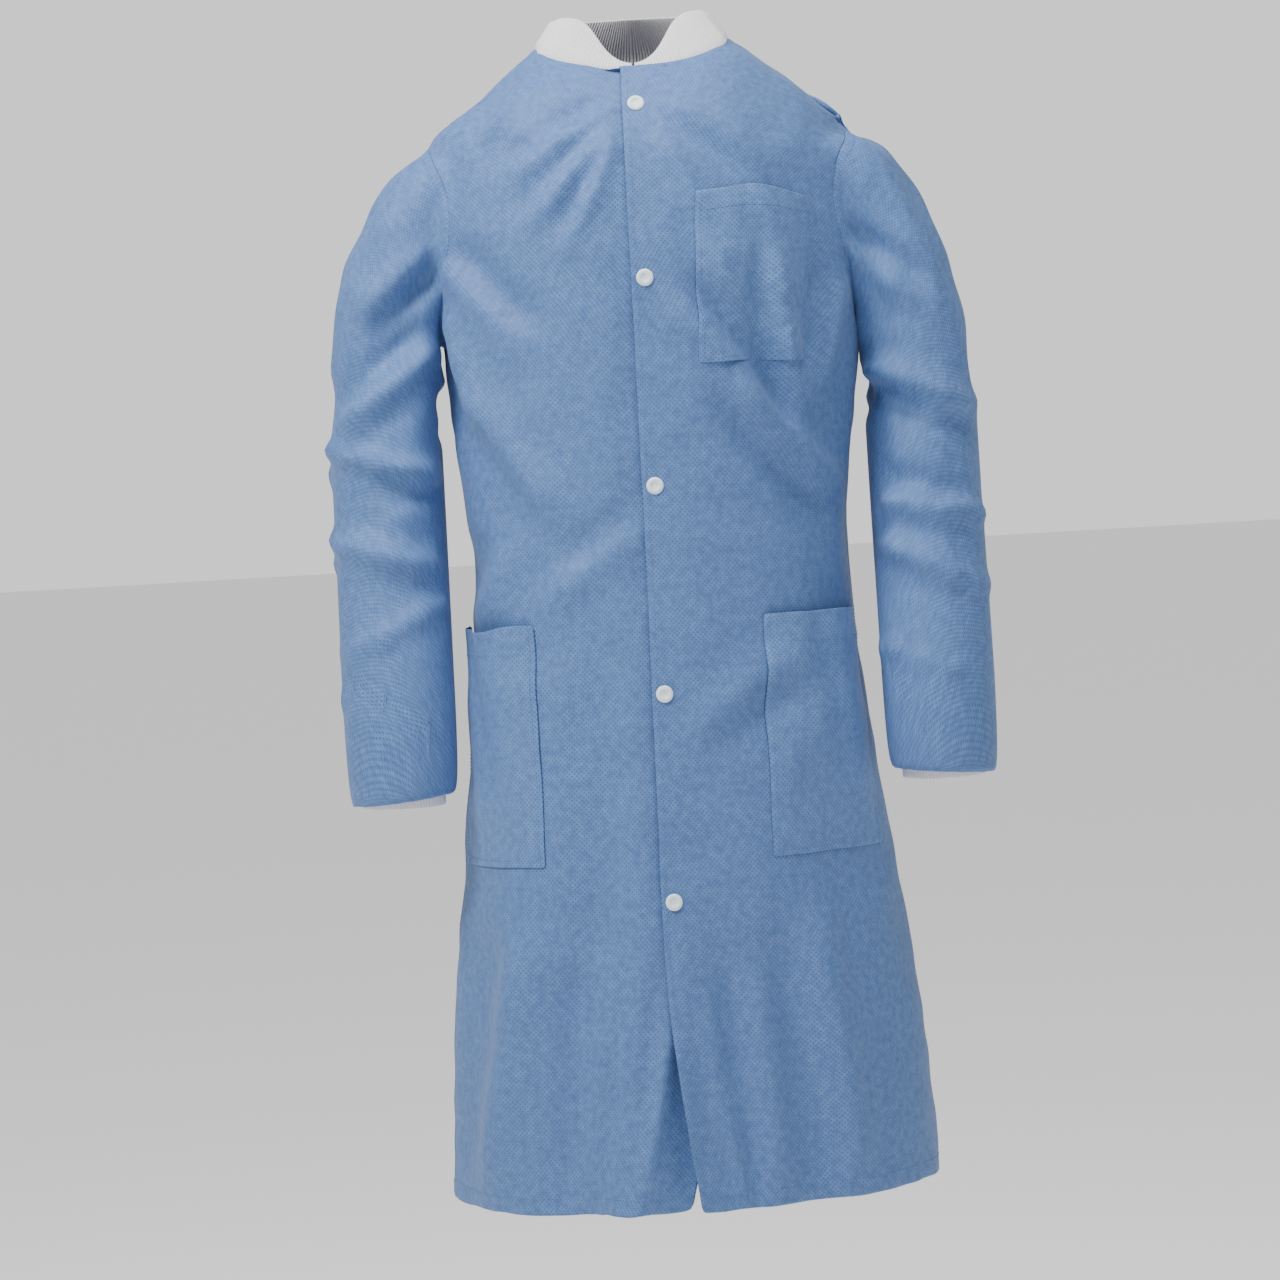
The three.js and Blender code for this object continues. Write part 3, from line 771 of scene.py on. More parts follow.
left_distances = distances_across("left_front")
right_distances = distances_across("right_front")
lap_columns = int(np.searchsorted(left_distances[body_rows // 2], lap))
left_normals = grid_normals(worn["left_front"])
right_normals = grid_normals(worn["right_front"])
dip = np.array([[ease(1 - d / dip_reach) for d in row] for row in right_distances])[..., None]
sunk_right = worn["right_front"] - lap_depth * dip * right_normals
lap_strip = (worn["left_front"] - lap_depth * left_normals)[:, 1:lap_columns + 1]
right_whole = np.concatenate([sunk_right, lap_strip], axis=1)
lap_distances = -left_distances[:, 1:lap_columns + 1]
right_whole_distances = np.concatenate([right_distances, lap_distances], axis=1)
to_left = left_share_of_part * part_width
worn["left_front"] = parted(worn["left_front"], left_distances, to_left)
worn["right_front"] = parted(right_whole, np.maximum(right_whole_distances, 0), to_left - part_width)
cut_grids["right_front"] = np.concatenate(
    [cut_grids["right_front"], cut_grids["left_front"][:, 1:lap_columns + 1]], axis=1)
print("the lap is", lap_columns, "columns wide")

# %% [markdown]
# ## Where things sit on a front
# Pockets, snaps, facings and stitches are placed by their distance from the front edge and their
# drop, on the draped cloth itself, so they follow its folds.

# %% A place on a draped panel
panel_distances = {"left_front": left_distances, "right_front": right_whole_distances[:, ::-1]}
panel_points = {"left_front": worn["left_front"], "right_front": worn["right_front"][:, ::-1]}
panel_normals = {"left_front": grid_normals(worn["left_front"]),
                 "right_front": grid_normals(worn["right_front"])[:, ::-1]}


def on_panel(panel, distance, level):
    """The point and the outward normal of a front at a distance from its edge and a drop."""
    row = float(np.interp(level, levels[::-1], np.arange(len(levels))[::-1]))
    low_row = min(int(row), len(levels) - 2)
    results = []
    for j in (low_row, low_row + 1):
        distances = panel_distances[panel][j]
        column = float(np.interp(distance, distances, np.arange(len(distances))))
        i = min(int(column), len(distances) - 2)
        share = column - i
        point = mix(panel_points[panel][j, i], panel_points[panel][j, i + 1], share)
        normal = mix(panel_normals[panel][j, i], panel_normals[panel][j, i + 1], share)
        results.append((point, normal))
    share = row - low_row
    point = mix(results[0][0], results[1][0], share)
    normal = mix(results[0][1], results[1][1], share)
    return point, normal / np.linalg.norm(normal)


# %% [markdown]
# ## Placing the pieces
# On the real coat a front swings about its fold line when the snaps are open, and a sleeve turns at the
# shoulder tip. Here nothing is bent: the ends of a front's fold line are found from its joint, and every
# front and sleeve piece only has its placement baked into its points.

# %% Placing the fronts and the sleeves
before_fold, after_fold = 0.035, 0.045


def fold_ends(side):
    joint = joints[f"{side}_front_open"]
    axis = np.array(joint["axis"], float)
    place = np.array(joint["pos_m"], float)
    outward = np.array((float(signs[side]), 0.0, 0.0))
    outward -= axis * float(outward @ axis)
    outward /= np.linalg.norm(outward)
    return tuple(place + before_fold * outward), tuple(place - after_fold * outward)


def bend_front(obj, side):
    start, end = fold_ends(side)
    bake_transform(obj)


def bend_sleeve(obj):
    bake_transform(obj)


# %% [markdown]
# ## Panels
# Each panel becomes a sheet with a real thickness. One level of subdivision rounds its folds.

# %% Make the panels
coat = {}


def panel_piece(name, grid, cut_grid, wraps=False, flipped=False):
    u, v = flat_lengths(cut_grid)
    obj = sheet_piece(name, grid, u, v, wraps, flipped)
    coat[name] = obj
    size = (float(u.max() - u.min()), float(v.max()))
    area = grid_area(cut_grid)
    if wraps:
        area *= u.shape[1] / (u.shape[1] - 1)
        size = (size[0] * u.shape[1] / (u.shape[1] - 1), size[1])
    area = min(area, size[0] * size[1])
    return obj, size, area


for side in ("left", "right"):
    panel = f"{side}_front"
    obj, size, area = panel_piece(f"{panel}_cloth", worn[panel], cut_grids[panel])
    bend_front(obj, side)
    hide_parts(panel, f"{side}_shoulder_panel")
    print(f"{panel}: {size[0]:.3f} x {size[1]:.3f} m, {area:.3f} square metres")

obj, size, area = panel_piece("back_cloth", worn["back"], cut_grids["back"])
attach(obj, "body")
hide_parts("back_panel")
print(f"back: {size[0]:.3f} x {size[1]:.3f} m, {area:.3f} square metres")

allowance_width, allowance_depth = 0.6, 0.0025
final_normals = point_normals(draped, garment_faces)


def with_seam_allowance(grid, inward):
    """Adds a first ring that tucks under the armhole edge, as a sewn seam allowance does."""
    tucked = grid[0] + allowance_width * (grid[0] - grid[1]) + inward
    return np.concatenate([tucked[None], grid])


# The right sleeve is a mirror image, so its faces are turned.
for side in ("left", "right"):
    inward = -allowance_depth * final_normals[index_grids[f"{side}_sleeve"][0]]
    grid = with_seam_allowance(worn[f"{side}_sleeve"], inward)
    cut_grid = with_seam_allowance(cut_grids[f"{side}_sleeve"], 0)
    obj, size, area = panel_piece(f"{side}_sleeve_cloth", grid, cut_grid,
                                  wraps=True, flipped=side == "right")
    bend_sleeve(obj)
    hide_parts(f"{side}_sleeve")
    print(f"{side} sleeve: {size[0]:.3f} x {size[1]:.3f} m, {area:.3f} square metres")


# %% [markdown]
# ## Facings
# Behind each front edge lies a strip of the same cloth, so the snaps have two layers to grip.

# %% Make the facings
facing_width, facing_top, facing_columns = 0.058, 0.012, 8
facing_inset, layer_step = 0.0015, 0.0011
facing_levels = [level for level in levels if level >= facing_top]


def facing_piece(side, first_distance):
    panel = f"{side}_front"
    across = np.linspace(first_distance, first_distance + facing_width, facing_columns + 1)
    if side == "right":
        across = across[::-1]
    rows = []
    for level in facing_levels:
        row = []
        for distance in across:
            point, normal = on_panel(panel, distance, level)
            row.append(point - layer_step * normal)
        rows.append(row)
    grid = np.array(rows)
    obj, size, area = panel_piece(f"{side}_facing_cloth", grid, grid)
    bend_front(obj, side)
    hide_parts(f"{side}_front_facing")


facing_piece("left", facing_inset)
facing_piece("right", facing_inset - lap)

# %% [markdown]
# ## Patch pockets
# A patch pocket is one piece of cloth, hemmed at the mouth and sewn down on three sides. Its mouth
# stands slightly open, and its middle bellies out with a soft crease or two.

# %% Make the pockets
lower_pocket = dict(inset=0.095, width=0.140, top=0.525, height=0.211, gape=0.011)
pocket_specs = {
    "chest_pocket": dict(side="left", inset=0.046, width=0.112, top=0.150, height=0.155, gape=0.0075),
    "left_lower_pocket": dict(side="left", **lower_pocket),
    "right_lower_pocket": dict(side="right", **lower_pocket),
}
pocket_columns, pocket_rows = 26, 34
pocket_lift = 0.0013
pocket_pattern_place = (0.37, 0.21)
broad_crease_share, fine_crease_depth = 0.45, 0.0010


def crease(u, v, centre, slope, width):
    """A shallow valley along a slanted line over the pocket, from 0 to 1 deep."""
    away = (u - centre - slope * (v - 0.5)) / width
    return math.exp(-away * away)


def pocket_belly(u, v, gape):
    belly = gape * ease(1.5 * v) * math.sin(math.pi * u) ** 0.8
    broad = crease(u, v, centre=0.55, slope=-0.35, width=0.10)
    fine = crease(u, v, centre=0.30, slope=0.25, width=0.05)
    belly *= 1 - broad_crease_share * broad * ease(2 * v)
    belly -= fine_crease_depth * fine * ease(3 * (1 - v))
    return max(belly, 0.0)


def pocket_piece(name, side, inset, width, top, height, gape):
    grid = []
    for j in range(pocket_rows + 1):
        v = j / pocket_rows
        row = []
        for i in range(pocket_columns + 1):
            u = i / pocket_columns
            share = 1 - u if side == "right" else u
            distance = overlap_past_centre + inset + width * share
            point, normal = on_panel(f"{side}_front", distance, top + height * (1 - v))
            row.append(point + (pocket_lift + pocket_belly(u, v, gape)) * normal)
        grid.append(row)
    grid = np.array(grid)
    u = np.tile(np.linspace(0, width, pocket_columns + 1), (pocket_rows + 1, 1))
    v = np.tile(np.linspace(0, height, pocket_rows + 1)[:, None], (1, pocket_columns + 1))
    obj = sheet_piece(f"{name}_cloth", grid, u + pocket_pattern_place[0], v + pocket_pattern_place[1])
    bend_front(obj, side)
    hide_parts(name)
    coat[f"{name}_cloth"] = obj
    return grid


pocket_grids = {name: pocket_piece(name, **spec) for name, spec in pocket_specs.items()}
print("pockets made:", ", ".join(pocket_specs))

# %% [markdown]
# ## Rib-knit collar and cuffs
# A rib knit is a doubled band with raised wales every two to three millimetres. The band here is a
# closed section swept along the neckline or round the wrist, and the wales are a real ripple in it.

# %% A swept rib band
rib_pitch, rib_height, band_thickness = 0.0030, 0.00045, 0.0026
steps_per_wale = 6


def band_section(low, high, count=7):
    """Points (depth, height) round a flat band with a folded, rounded top."""
    half = band_thickness / 2
    outer = [(0.0, mix(low, high - half, s)) for s in np.linspace(0, 1, count)]
    fold = [(half - half * math.cos(a), high - half + half * math.sin(a))
            for a in np.linspace(0, math.pi, 6)[1:-1]]
    inner = [(band_thickness, mix(high - half, low, s)) for s in np.linspace(0, 1, count)]
    return outer + fold + inner


def rib_band(name, feet, outwards, sections, lean, closed=False):
    walked = np.concatenate([[0.0], np.cumsum(np.linalg.norm(np.diff(feet, axis=0), axis=1))])
    rings = []
    for foot, outward, section, distance in zip(feet, outwards, sections, walked):
        ripple = rib_height * math.cos(2 * math.pi * distance / rib_pitch)
        ring = []
        for depth, height in section:
            side = 1 - 2 * depth / band_thickness
            shift = -depth - lean * max(height, 0.0) + ripple * side
            ring.append(foot + outward * shift + np.array((0, 0, height)))
        rings.append(ring)
    rings = np.array(rings)
    count = rings.shape[1]
    index = np.arange(len(rings) * count).reshape(len(rings), count)
    faces = []
    stations = len(rings) if closed else len(rings) - 1
    for j in range(stations):
        k = (j + 1) % len(rings)
        for i in range(count):
            n = (i + 1) % count
            faces.append((index[j, i], index[k, i], index[k, n], index[j, n]))
    if not closed:
        faces.append(list(index[0]))
        faces.append(list(index[-1][::-1]))
    obj = mesh_object(name, rings.reshape(-1, 3), faces)
    face_outwards(obj)
    coat[name] = obj
    return obj


# %% The collar
collar_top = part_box("collar_back")[1][2]
collar_inset, collar_lean, collar_gap_angle = 0.0022, 0.75, 0.4
collar_front_height, collar_front_tuck, collar_tuck = 0.004, 0.003, 0.006


def even_path(points, step):
    walked = np.concatenate([[0.0], np.cumsum(np.linalg.norm(np.diff(points, axis=0), axis=1))])
    places = np.linspace(0, walked[-1], int(walked[-1] / step) + 1)
    return np.stack([np.interp(places, walked, points[:, k]) for k in range(3)], axis=1)


def collar_half(side):
    mirrored = np.array((signs[side], 1, 1))
    front = [cloth_place(a, 0.0) for a in np.linspace(collar_gap_angle, neck_angle, 30)]
    behind = [cloth_place(a, 0.0) for a in np.linspace(180 - neck_angle, 180, 40)]
    path = even_path(np.array(front + behind[1:]), rib_pitch / steps_per_wale)
    middle_y = path[:, 1].mean()
    feet, outwards, sections = [], [], []
    for place in path:
        outward = np.array((place[0], place[1] - middle_y, 0.0))
        outward /= np.linalg.norm(outward)
        share = ease(place[0] / neck_half_width) if place[1] < 0 else 1.0
        foot = place - outward * collar_inset
        high = mix(collar_front_height, collar_top - place[2], share)
        low = mix(-collar_front_tuck, -collar_tuck, share)
        feet.append(foot * mirrored)
        outwards.append(outward * mirrored)
        sections.append(band_section(low, high))
    obj = rib_band(f"{side}_collar_knit", np.array(feet), outwards, sections, collar_lean)
    bend_front(obj, side)
    if side == "left":
        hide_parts("left_collar_front", "collar_back")
    else:
        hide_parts("right_collar_front")


for side in ("left", "right"):
    collar_half(side)


# %% The cuffs
def cuff_band(side):
    low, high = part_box(f"{side}_cuff")
    centre = np.array(((low[0] + high[0]) / 2, (low[1] + high[1]) / 2, low[2]))
    radius = (high[0] - low[0]) / 2
    wales = round(2 * math.pi * radius / rib_pitch)
    steps = wales * steps_per_wale
    turns = np.arange(steps) / steps * 2 * math.pi
    outwards = [np.array((math.cos(t), math.sin(t), 0.0)) for t in turns]
    feet = np.array([centre + radius * outward for outward in outwards])
    height = float(high[2] - low[2])
    # The folded edge of a cuff points down, so the section is turned over.
    section = [(depth, height - place) for depth, place in band_section(0.0, height)]
    obj = rib_band(f"{side}_cuff_knit", feet, outwards, [section] * steps, 0.0, closed=True)
    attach(obj, f"{side}_sleeve")
    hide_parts(f"{side}_cuff")
    print(f"{side} cuff: {wales} wales")


for side in ("left", "right"):
    cuff_band(side)

# %% [markdown]
# ## Snap fasteners
# Each closure is a four-part moulded snap: a cap and its socket hold the upper front between them,
# and a stud and its back ring hold the lower one. Every part is a turned profile.

# %% A turned part
snap_count, first_snap_drop, snap_spacing = 5, 0.050, 0.180
snap_drops = [first_snap_drop + snap_spacing * k for k in range(snap_count)]
turning_steps = 40


def turned(name, profile, place, normal):
    """Spins a closed profile of (radius, height) about the normal at a place."""
    lathe = bmesh.new()
    rings = []
    for radius, height in profile:
        if radius == 0:
            rings.append([lathe.verts.new((0, 0, height))])
            continue
        turns = [2 * math.pi * k / turning_steps for k in range(turning_steps)]
        rings.append([lathe.verts.new((radius * math.cos(t), radius * math.sin(t), height)) for t in turns])
    pairs = list(zip(rings[:-1], rings[1:]))
    if len(rings[0]) > 1:
        pairs.append((rings[-1], rings[0]))
    for lower, upper in pairs:
        for k in range(turning_steps):
            n = (k + 1) % turning_steps
            if len(lower) == 1:
                corners = [lower[0], upper[n], upper[k]]
            elif len(upper) == 1:
                corners = [lower[k], lower[n], upper[0]]
            else:
                corners = [lower[k], lower[n], upper[n], upper[k]]
            lathe.faces.new(corners)
    bmesh.ops.recalc_face_normals(lathe, faces=lathe.faces)
    turn = Vector((0, 0, 1)).rotation_difference(Vector(normal)).to_matrix().to_4x4()
    turn.translation = Vector(place)
    lathe.transform(turn)
    mesh = bpy.data.meshes.new(name)
    lathe.to_mesh(mesh)
    lathe.free()
    mesh.polygons.foreach_set("use_smooth", [True] * len(mesh.polygons))
    return link_mesh(name, mesh)


# %% The four profiles, in millimetres
cap_profile = [(0, 0.9), (2.4, 0.9), (3.1, 1.15), (3.6, 1.5), (4.3, 1.75), (5.2, 1.8),
               (6.2, 1.6), (7.0, 1.15), (7.4, 0.6), (7.5, 0.2), (7.3, 0.0), (0, 0.0)]
socket_profile = [(2.3, 0), (5.6, 0), (5.9, 0.3), (5.6, 0.7), (4.2, 0.9),
                  (4.0, 1.3), (3.6, 1.4), (2.5, 1.4), (2.3, 1.2)]
stud_profile = [(0, 2.4), (1.2, 2.4), (1.75, 2.1), (1.75, 1.7), (1.4, 1.3),
                (1.5, 0.9), (5.3, 0.7), (5.7, 0.4), (5.6, 0.0), (0, 0.0)]
back_profile = [(0, 0.5), (2.6, 0.5), (3.2, 0.9), (4.6, 1.0), (5.9, 0.8), (6.4, 0.3), (6.3, 0.0), (0, 0.0)]


def in_metres(profile):
    return [(radius / 1000, height / 1000) for radius, height in profile]


# %% Place the snaps on the draped fronts
facing_back = layer_step + cloth_thickness
for number, drop in enumerate(snap_drops, start=1):
    seat, normal = on_panel("left_front", overlap_past_centre, drop)
    under = -(lap_depth + cloth_thickness)
    layers = [("cap", cap_profile, 0.0, 1, "left_front"),
              ("socket", socket_profile, -facing_back, -1, "left_front"),
              ("stud", stud_profile, -lap_depth, 1, "right_front"),
              ("back", back_profile, under - layer_step, -1, "right_front")]
    for part, profile, depth, facing, body in layers:
        name = f"snap_{number}_{part}"
        obj = turned(f"{name}_moulding", in_metres(profile), seat + depth * normal, facing * normal)
        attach(obj, body)
        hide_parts(name)
        coat[obj.name] = obj
print(4 * len(snap_drops), "snap parts placed")

# %% [markdown]
# ## Stitches
# The seams are lockstitched with matching thread, about eight stitches to the inch. A node tree lays
# one small rounded stitch after another along a line of points, so one tree serves every seam.

# %% The stitch tree
stitch_pitch, stitch_length, stitch_radius = 0.0032, 0.0022, 0.00028
stitch_lift = 0.0002


def stitch_tree(thread):
    tree = bpy.data.node_groups.new("lockstitch", "GeometryNodeTree")
    tree.interface.new_socket(name="Line", in_out="INPUT", socket_type="NodeSocketGeometry")
    sockets = {}
    for label in ("Pitch", "Length", "Radius"):
        socket = tree.interface.new_socket(name=label, in_out="INPUT", socket_type="NodeSocketFloat")
        sockets[label] = socket.identifier
    tree.interface.new_socket(name="Stitches", in_out="OUTPUT", socket_type="NodeSocketGeometry")
    start = add_node(tree, "NodeGroupInput")
    line = add_node(tree, "GeometryNodeMeshToCurve", links={"Mesh": (start, "Line")})
    even = add_node(tree, "GeometryNodeResampleCurve",
                    links={"Curve": (line, "Curve"), "Length": (start, "Pitch")}, mode="LENGTH")
    tangent = add_node(tree, "GeometryNodeInputTangent")
    turn = add_node(tree, "FunctionNodeAlignRotationToVector",
                    links={"Vector": (tangent, "Tangent")}, axis="Z")
    thickness = add_node(tree, "ShaderNodeMath",
                         links={0: (start, "Radius")}, inputs={1: 2.0}, operation="MULTIPLY")
    size = add_node(tree, "ShaderNodeCombineXYZ",
                    links={"X": (thickness, "Value"), "Y": (thickness, "Value"), "Z": (start, "Length")})
    bead = add_node(tree, "GeometryNodeMeshIcoSphere", inputs={"Radius": 0.5, "Subdivisions": 1})
    placed = add_node(tree, "GeometryNodeInstanceOnPoints",
                      links={"Points": (even, "Curve"), "Instance": (bead, "Mesh"),
                             "Rotation": (turn, "Rotation"), "Scale": (size, "Vector")})
    real = add_node(tree, "GeometryNodeRealizeInstances", links={"Geometry": (placed, "Instances")})
    dressed = add_node(tree, "GeometryNodeSetMaterial", links={"Geometry": (real, "Geometry")},
                       inputs={"Material": thread})
    add_node(tree, "NodeGroupOutput", links={"Stitches": (dressed, "Geometry")})
    return tree, sockets


# %% Lines of stitches
pocket_hem_share = 0.11


def stitch_lines(name, lines, tree, sockets):
    points, edges = [], []
    for line in lines:
        first = len(points)
        points += [tuple(point) for point in line]
        edges += [(first + k, first + k + 1) for k in range(len(line) - 1)]
    mesh = bpy.data.meshes.new(name)
    mesh.from_pydata(points, edges, [])
    obj = link_mesh(name, mesh)
    sewing = obj.modifiers.new("sewing", "NODES")
    sewing.node_group = tree
    for label, value in (("Pitch", stitch_pitch), ("Length", stitch_length), ("Radius", stitch_radius)):
        sewing[sockets[label]] = value
    plain_mesh(obj)
    return obj


def front_line(panel, places):
    line = []
    for distance, level in places:
        point, normal = on_panel(panel, distance, level)
        line.append(point + stitch_lift * normal)
    return line


def pocket_lines(grid):
    normals = grid_normals(grid)
    raised = grid + stitch_lift * normals
    hem_row = round((1 - pocket_hem_share) * (len(grid) - 1))
    around = list(raised[::-1, 1]) + list(raised[1, 2:-1]) + list(raised[:, -2])
    return [around, list(raised[hem_row, 1:-1])]


hem_line_drop, edge_inset = 0.015, 0.006
line_start, line_end, hem_line_points = 0.004, 0.003, 60
edge_levels = [level for level in levels if facing_top < level < coat_drop - line_start]
seam_lines = {"left_front": [front_line("left_front", [(edge_inset, level) for level in edge_levels])],
              "right_front": []}
for panel, lines in seam_lines.items():
    end = float(panel_distances[panel][0].max()) - line_end
    start = line_start if panel == "left_front" else line_start - lap
    across = np.linspace(start, end, hem_line_points)
    lines.append(front_line(panel, [(distance, coat_drop - hem_line_drop) for distance in across]))
for name, grid in pocket_grids.items():
    seam_lines[f"{pocket_specs[name]['side']}_front"] += pocket_lines(grid)
back_raised = worn["back"] + stitch_lift * grid_normals(worn["back"])
seam_lines["back"] = [list(back_raised[1])]
for side in ("left", "right"):
    grid = worn[f"{side}_sleeve"]
    outward = grid_normals(grid, wraps=True) * signs[side]
    raised = grid + stitch_lift * outward
    seam_lines[f"{side}_sleeve"] = [list(raised[1]) + [raised[1, 0]]]

# %% [markdown]
# ## Materials
# One small helper adds a node, sets its values and makes its links. Colours are given as sRGB hex.

# %% Colour and node helpers
def linear(hex_colour):
    values = [int(hex_colour[k:k + 2], 16) / 255 for k in (1, 3, 5)]
    return [v / 12.92 if v <= 0.04045 else ((v + 0.055) / 1.055) ** 2.4 for v in values] + [1.0]


def add_node(tree, kind, links=None, inputs=None, **settings):
    """Adds a node. links maps an input to (node, output); inputs maps an input to a value."""
    node = tree.nodes.new(kind)
    for key, value in settings.items():
        setattr(node, key, value)
    for key, value in (inputs or {}).items():
        node.inputs[key].default_value = value
    for key, (source, output) in (links or {}).items():
        tree.links.new(source.outputs[output], node.inputs[key])
    return node


def new_material(name):
    material = bpy.data.materials.new(name)
    material.use_nodes = True
    tree = material.node_tree
    tree.nodes.clear()
    return material, tree


def show(tree, shader):
    add_node(tree, "ShaderNodeOutputMaterial", links={"Surface": (shader, "BSDF")})


def colour_ramp(tree, source, output, stops):
    ramp = add_node(tree, "ShaderNodeValToRGB", links={"Fac": (source, output)})
    points = ramp.color_ramp.elements
    while len(points) < len(stops):
        points.new(0.5)
    for point, (place, colour) in zip(points, stops):
        point.position = place
        point.color = colour
    return ramp


# %% [markdown]
# ### Point-bonded polypropylene non-woven
# Thin filaments are laid at random and welded together at small points in a regular grid. The eye
# sees a faint cloud of fibres and tiny dimples with a slight shine.

# %% The coat's cloth
bond_pitch = 0.0030
bond_depth = 0.00012
bond_strength = 0.40
fibre_width = 0.0007


def nonwoven(name, hex_low, hex_high):
    material, tree = new_material(name)
    place = add_node(tree, "ShaderNodeUVMap", uv_map="cut")
    cells = add_node(tree, "ShaderNodeMapping", links={"Vector": (place, "UV")},
                     inputs={"Scale": (1 / bond_pitch, 1 / bond_pitch, 1),
                             "Rotation": (0, 0, math.radians(45))})
    bonds = add_node(tree, "ShaderNodeTexVoronoi", links={"Vector": (cells, "Vector")},
                     inputs={"Scale": 1.0, "Randomness": 0.0}, voronoi_dimensions="2D", feature="F1")
    dimple = add_node(tree, "ShaderNodeMapRange", links={"Value": (bonds, "Distance")},
                      inputs={"From Min": 0.16, "From Max": 0.34, "To Min": 0.0, "To Max": 1.0},
                      interpolation_type="SMOOTHSTEP")
    strands = add_node(tree, "ShaderNodeMapping", links={"Vector": (place, "UV")},
                       inputs={"Scale": (1 / fibre_width, 0.45 / fibre_width, 1)})
    fibres = add_node(tree, "ShaderNodeTexNoise", links={"Vector": (strands, "Vector")},
                      inputs={"Scale": 1.0, "Detail": 5.0, "Roughness": 0.65, "Distortion": 1.2},
                      noise_dimensions="2D")
    clouds = add_node(tree, "ShaderNodeTexNoise", links={"Vector": (place, "UV")},
                      inputs={"Scale": 130.0, "Detail": 4.0, "Roughness": 0.6}, noise_dimensions="2D")
    blend = add_node(tree, "ShaderNodeMix", links={2: (fibres, "Fac"), 3: (clouds, "Fac")},
                     inputs={0: 0.45}, data_type="FLOAT")
    tone = colour_ramp(tree, blend, 0, [(0.30, linear(hex_low)), (0.70, linear(hex_high))])
    bonded = add_node(tree, "ShaderNodeMix", links={0: (dimple, "Result"), 7: (tone, "Color")},
                      inputs={6: linear(hex_low)}, data_type="RGBA")
    rough = add_node(tree, "ShaderNodeMapRange", links={"Value": (dimple, "Result")},
                     inputs={"From Min": 0.0, "From Max": 1.0, "To Min": 0.46, "To Max": 0.78})
    height = add_node(tree, "ShaderNodeMath", links={0: (dimple, "Result"), 1: (fibres, "Fac")},
                      operation="MULTIPLY")
    weave = add_node(tree, "ShaderNodeBump", links={"Height": (height, "Value")},
                     inputs={"Strength": bond_strength, "Distance": bond_depth * 2})
    shader = add_node(tree, "ShaderNodeBsdfPrincipled",
                      links={"Base Color": (bonded, 2), "Roughness": (rough, "Result"),
                             "Normal": (weave, "Normal")},
                      inputs={"IOR": 1.49, "Sheen Weight": 0.12, "Sheen Roughness": 0.45,
                              "Sheen Tint": linear("#E4EEF9")})
    show(tree, shader)
    return material


coat_cloth = nonwoven("blue_point_bonded_nonwoven", "#3C5D92", "#6A8DC2")
pocket_cloth = nonwoven("blue_nonwoven_double_layer", "#406297", "#6E91C6")

# %% [markdown]
# ### Rib knit
# The collar and the cuffs are polyester rib knit. Bulky yarn scatters light softly, and small
# uneven loops show on the modelled wales, with painted shade between them. The snaps are moulded
# acetal with a soft gloss.

# %% The knit and the snaps
yarn_pitch = 0.0011


def rib_knit():
    material, tree = new_material("white_polyester_rib_knit")
    place = add_node(tree, "ShaderNodeTexCoord")
    scaled = add_node(tree, "ShaderNodeMapping", links={"Vector": (place, "Object")},
                      inputs={"Scale": (1 / yarn_pitch,) * 3})
    loops = add_node(tree, "ShaderNodeTexVoronoi", links={"Vector": (scaled, "Vector")},
                     inputs={"Scale": 1.0, "Randomness": 0.55})
    # Painted shade: each white loop fades to a light grey towards its edge, standing in for the shade
    # between the loops.
    tone = colour_ramp(tree, loops, "Distance", [(0.0, linear("#F3F1F2")), (0.9, linear("#CFCDD3"))])
    bump = add_node(tree, "ShaderNodeBump", links={"Height": (loops, "Distance")},
                    inputs={"Strength": 0.5, "Distance": 0.0003})
    shader = add_node(tree, "ShaderNodeBsdfPrincipled",
                      links={"Base Color": (tone, "Color"), "Normal": (bump, "Normal")},
                      inputs={"Roughness": 0.92, "Sheen Weight": 0.25, "Sheen Roughness": 0.5})
    show(tree, shader)
    return material


def moulded_acetal():
    material, tree = new_material("white_moulded_acetal")
    place = add_node(tree, "ShaderNodeTexCoord")
    grain = add_node(tree, "ShaderNodeTexNoise", links={"Vector": (place, "Object")},
                     inputs={"Scale": 900.0, "Detail": 3.0})
    tone = colour_ramp(tree, grain, "Fac", [(0.3, linear("#DCEBF2")), (0.7, linear("#F2F8FB"))])
    rough = add_node(tree, "ShaderNodeMapRange", links={"Value": (grain, "Fac")},
                     inputs={"From Min": 0.3, "From Max": 0.7, "To Min": 0.26, "To Max": 0.36})
    shader = add_node(tree, "ShaderNodeBsdfPrincipled",
                      links={"Base Color": (tone, "Color"), "Roughness": (rough, "Result")},
                      inputs={"IOR": 1.48, "Subsurface Weight": 0.15,
                              "Subsurface Radius": (0.0012, 0.0010, 0.0008)})
    show(tree, shader)
    return material


def spun_thread():
    material, tree = new_material("blue_polyester_thread")
    place = add_node(tree, "ShaderNodeTexCoord")
    ply = add_node(tree, "ShaderNodeTexNoise", links={"Vector": (place, "Object")},
                   inputs={"Scale": 2500.0, "Detail": 2.0})
    tone = colour_ramp(tree, ply, "Fac", [(0.3, linear("#3F6AA6")), (0.7, linear("#6E96CC"))])
    shader = add_node(tree, "ShaderNodeBsdfPrincipled", links={"Base Color": (tone, "Color")},
                      inputs={"Roughness": 0.7})
    show(tree, shader)
    return material


knit, acetal, thread = rib_knit(), moulded_acetal(), spun_thread()

# %% Sew the seams
lockstitch, stitch_sockets = stitch_tree(thread)
for part, lines in seam_lines.items():
    obj = stitch_lines(f"{part}_stitches", lines, lockstitch, stitch_sockets)
    if part == "back":
        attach(obj, "body")
    elif part.endswith("sleeve"):
        bend_sleeve(obj)
    else:
        bend_front(obj, part.split("_")[0])
    print(part, len(obj.data.polygons) // 20, "stitches")

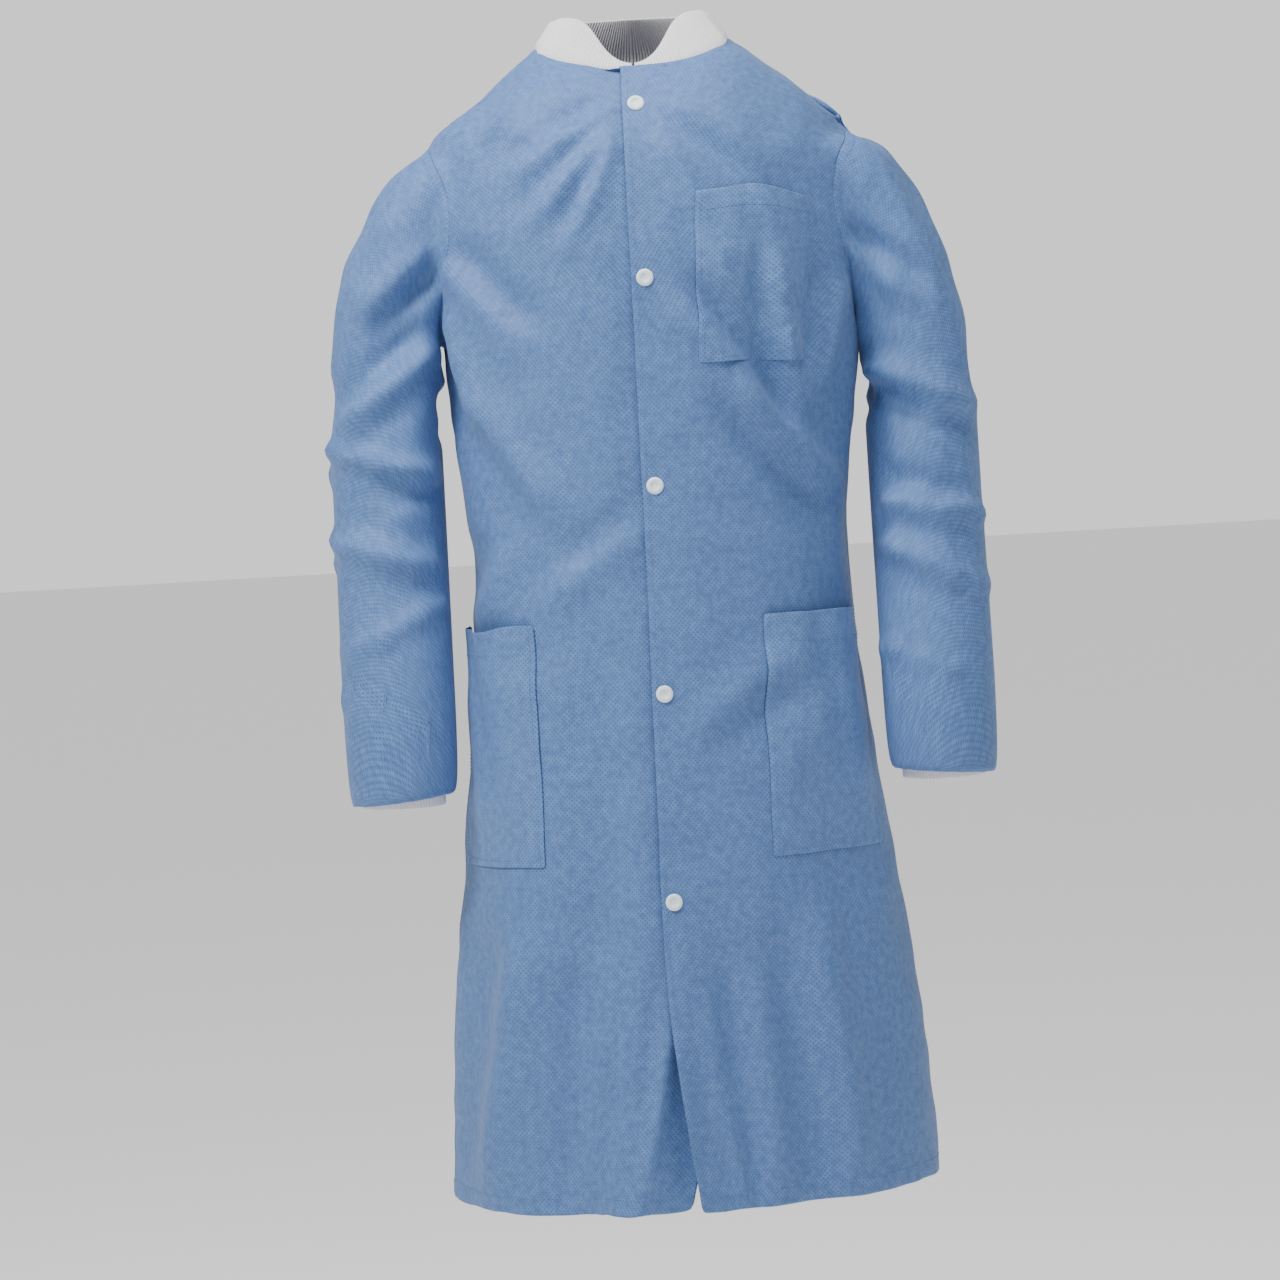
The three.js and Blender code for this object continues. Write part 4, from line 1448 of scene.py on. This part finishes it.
# %% Dress every piece
for name, obj in coat.items():
    finish = coat_cloth
    if "pocket" in name:
        finish = pocket_cloth
    elif "knit" in name:
        finish = knit
    elif "moulding" in name:
        finish = acetal
    obj.data.materials.clear()
    obj.data.materials.append(finish)
print(len(coat), "pieces dressed")

# %% [markdown]
# ## Floor, light and camera
# The coat hangs above a wide, plain, pale floor under an even white sky.
# A soft key light from the upper left and a second from above draw out the folds.

# %% The floor
floor_level = -coat_drop - 0.45
floor_reach = 30.0


def make_floor():
    sides = ((-1, -1), (1, -1), (1, 1), (-1, 1))
    corners = [(floor_reach * x, floor_reach * y, floor_level) for x, y in sides]
    obj = mesh_object("studio_floor", corners, [(0, 1, 2, 3)])
    material, tree = new_material("white_studio_paper")
    shader = add_node(tree, "ShaderNodeBsdfPrincipled",
                      inputs={"Base Color": linear("#FAFAFA"), "Roughness": 0.9,
                              "Emission Color": linear("#FFFFFF"), "Emission Strength": 0.55})
    show(tree, shader)
    obj.data.materials.append(material)


make_floor()


# %% Lights
def soft_light(name, place, aim, size, power, colour="#FFFFFF"):
    data = bpy.data.lights.new(name, "AREA")
    data.shape = "RECTANGLE"
    data.size, data.size_y = size
    data.energy = power
    data.color = linear(colour)[:3]
    obj = bpy.data.objects.new(name, data)
    obj.location = place
    direction = Vector(aim) - Vector(place)
    obj.rotation_euler = direction.to_track_quat("-Z", "Y").to_euler()
    bpy.context.scene.collection.objects.link(obj)


soft_light("key", (-1.2, -1.1, 1.35), (0, 0, -0.30), (0.8, 0.6), 66)
soft_light("top", (0.3, -0.7, 1.6), (0, 0, -0.25), (0.9, 0.6), 34)
soft_light("fill", (2.6, -2.2, 0.2), (0, 0, -0.6), (1.4, 1.4), 5, "#EEF3FF")

# %% [markdown]
# The sky looks bright, but lights the cloth more weakly, so that the folds keep their shade.

# %% Sky
world = bpy.data.worlds.new("studio")
world.use_nodes = True
sky = world.node_tree
sky.nodes.clear()
lighting_sky = add_node(sky, "ShaderNodeBackground",
                        inputs={"Color": linear("#FFFFFF"), "Strength": 0.28})
seen_sky = add_node(sky, "ShaderNodeBackground", inputs={"Color": linear("#FFFFFF"), "Strength": 1.05})
ray = add_node(sky, "ShaderNodeLightPath")
both = add_node(sky, "ShaderNodeMixShader",
                links={0: (ray, "Is Camera Ray"), 1: (lighting_sky, "Background"),
                       2: (seen_sky, "Background")})
add_node(sky, "ShaderNodeOutputWorld", links={"Surface": (both, "Shader")})
bpy.context.scene.world = world

# %% Camera
camera_place = Vector((-0.023, -3.8, -0.33))
camera_aim = Vector((-0.023, 0.0, -0.536))
camera_data = bpy.data.cameras.new("camera")
camera_data.sensor_width = 36
camera_data.lens = 119
camera = bpy.data.objects.new("camera", camera_data)
camera.location = camera_place
camera_turn = (camera_aim - camera_place).to_track_quat("-Z", "Y").to_matrix()
roll = math.radians(-3.3)
camera.rotation_euler = camera_turn.to_euler()
camera.rotation_euler.rotate_axis("Z", roll)
bpy.context.scene.collection.objects.link(camera)
bpy.context.scene.camera = camera
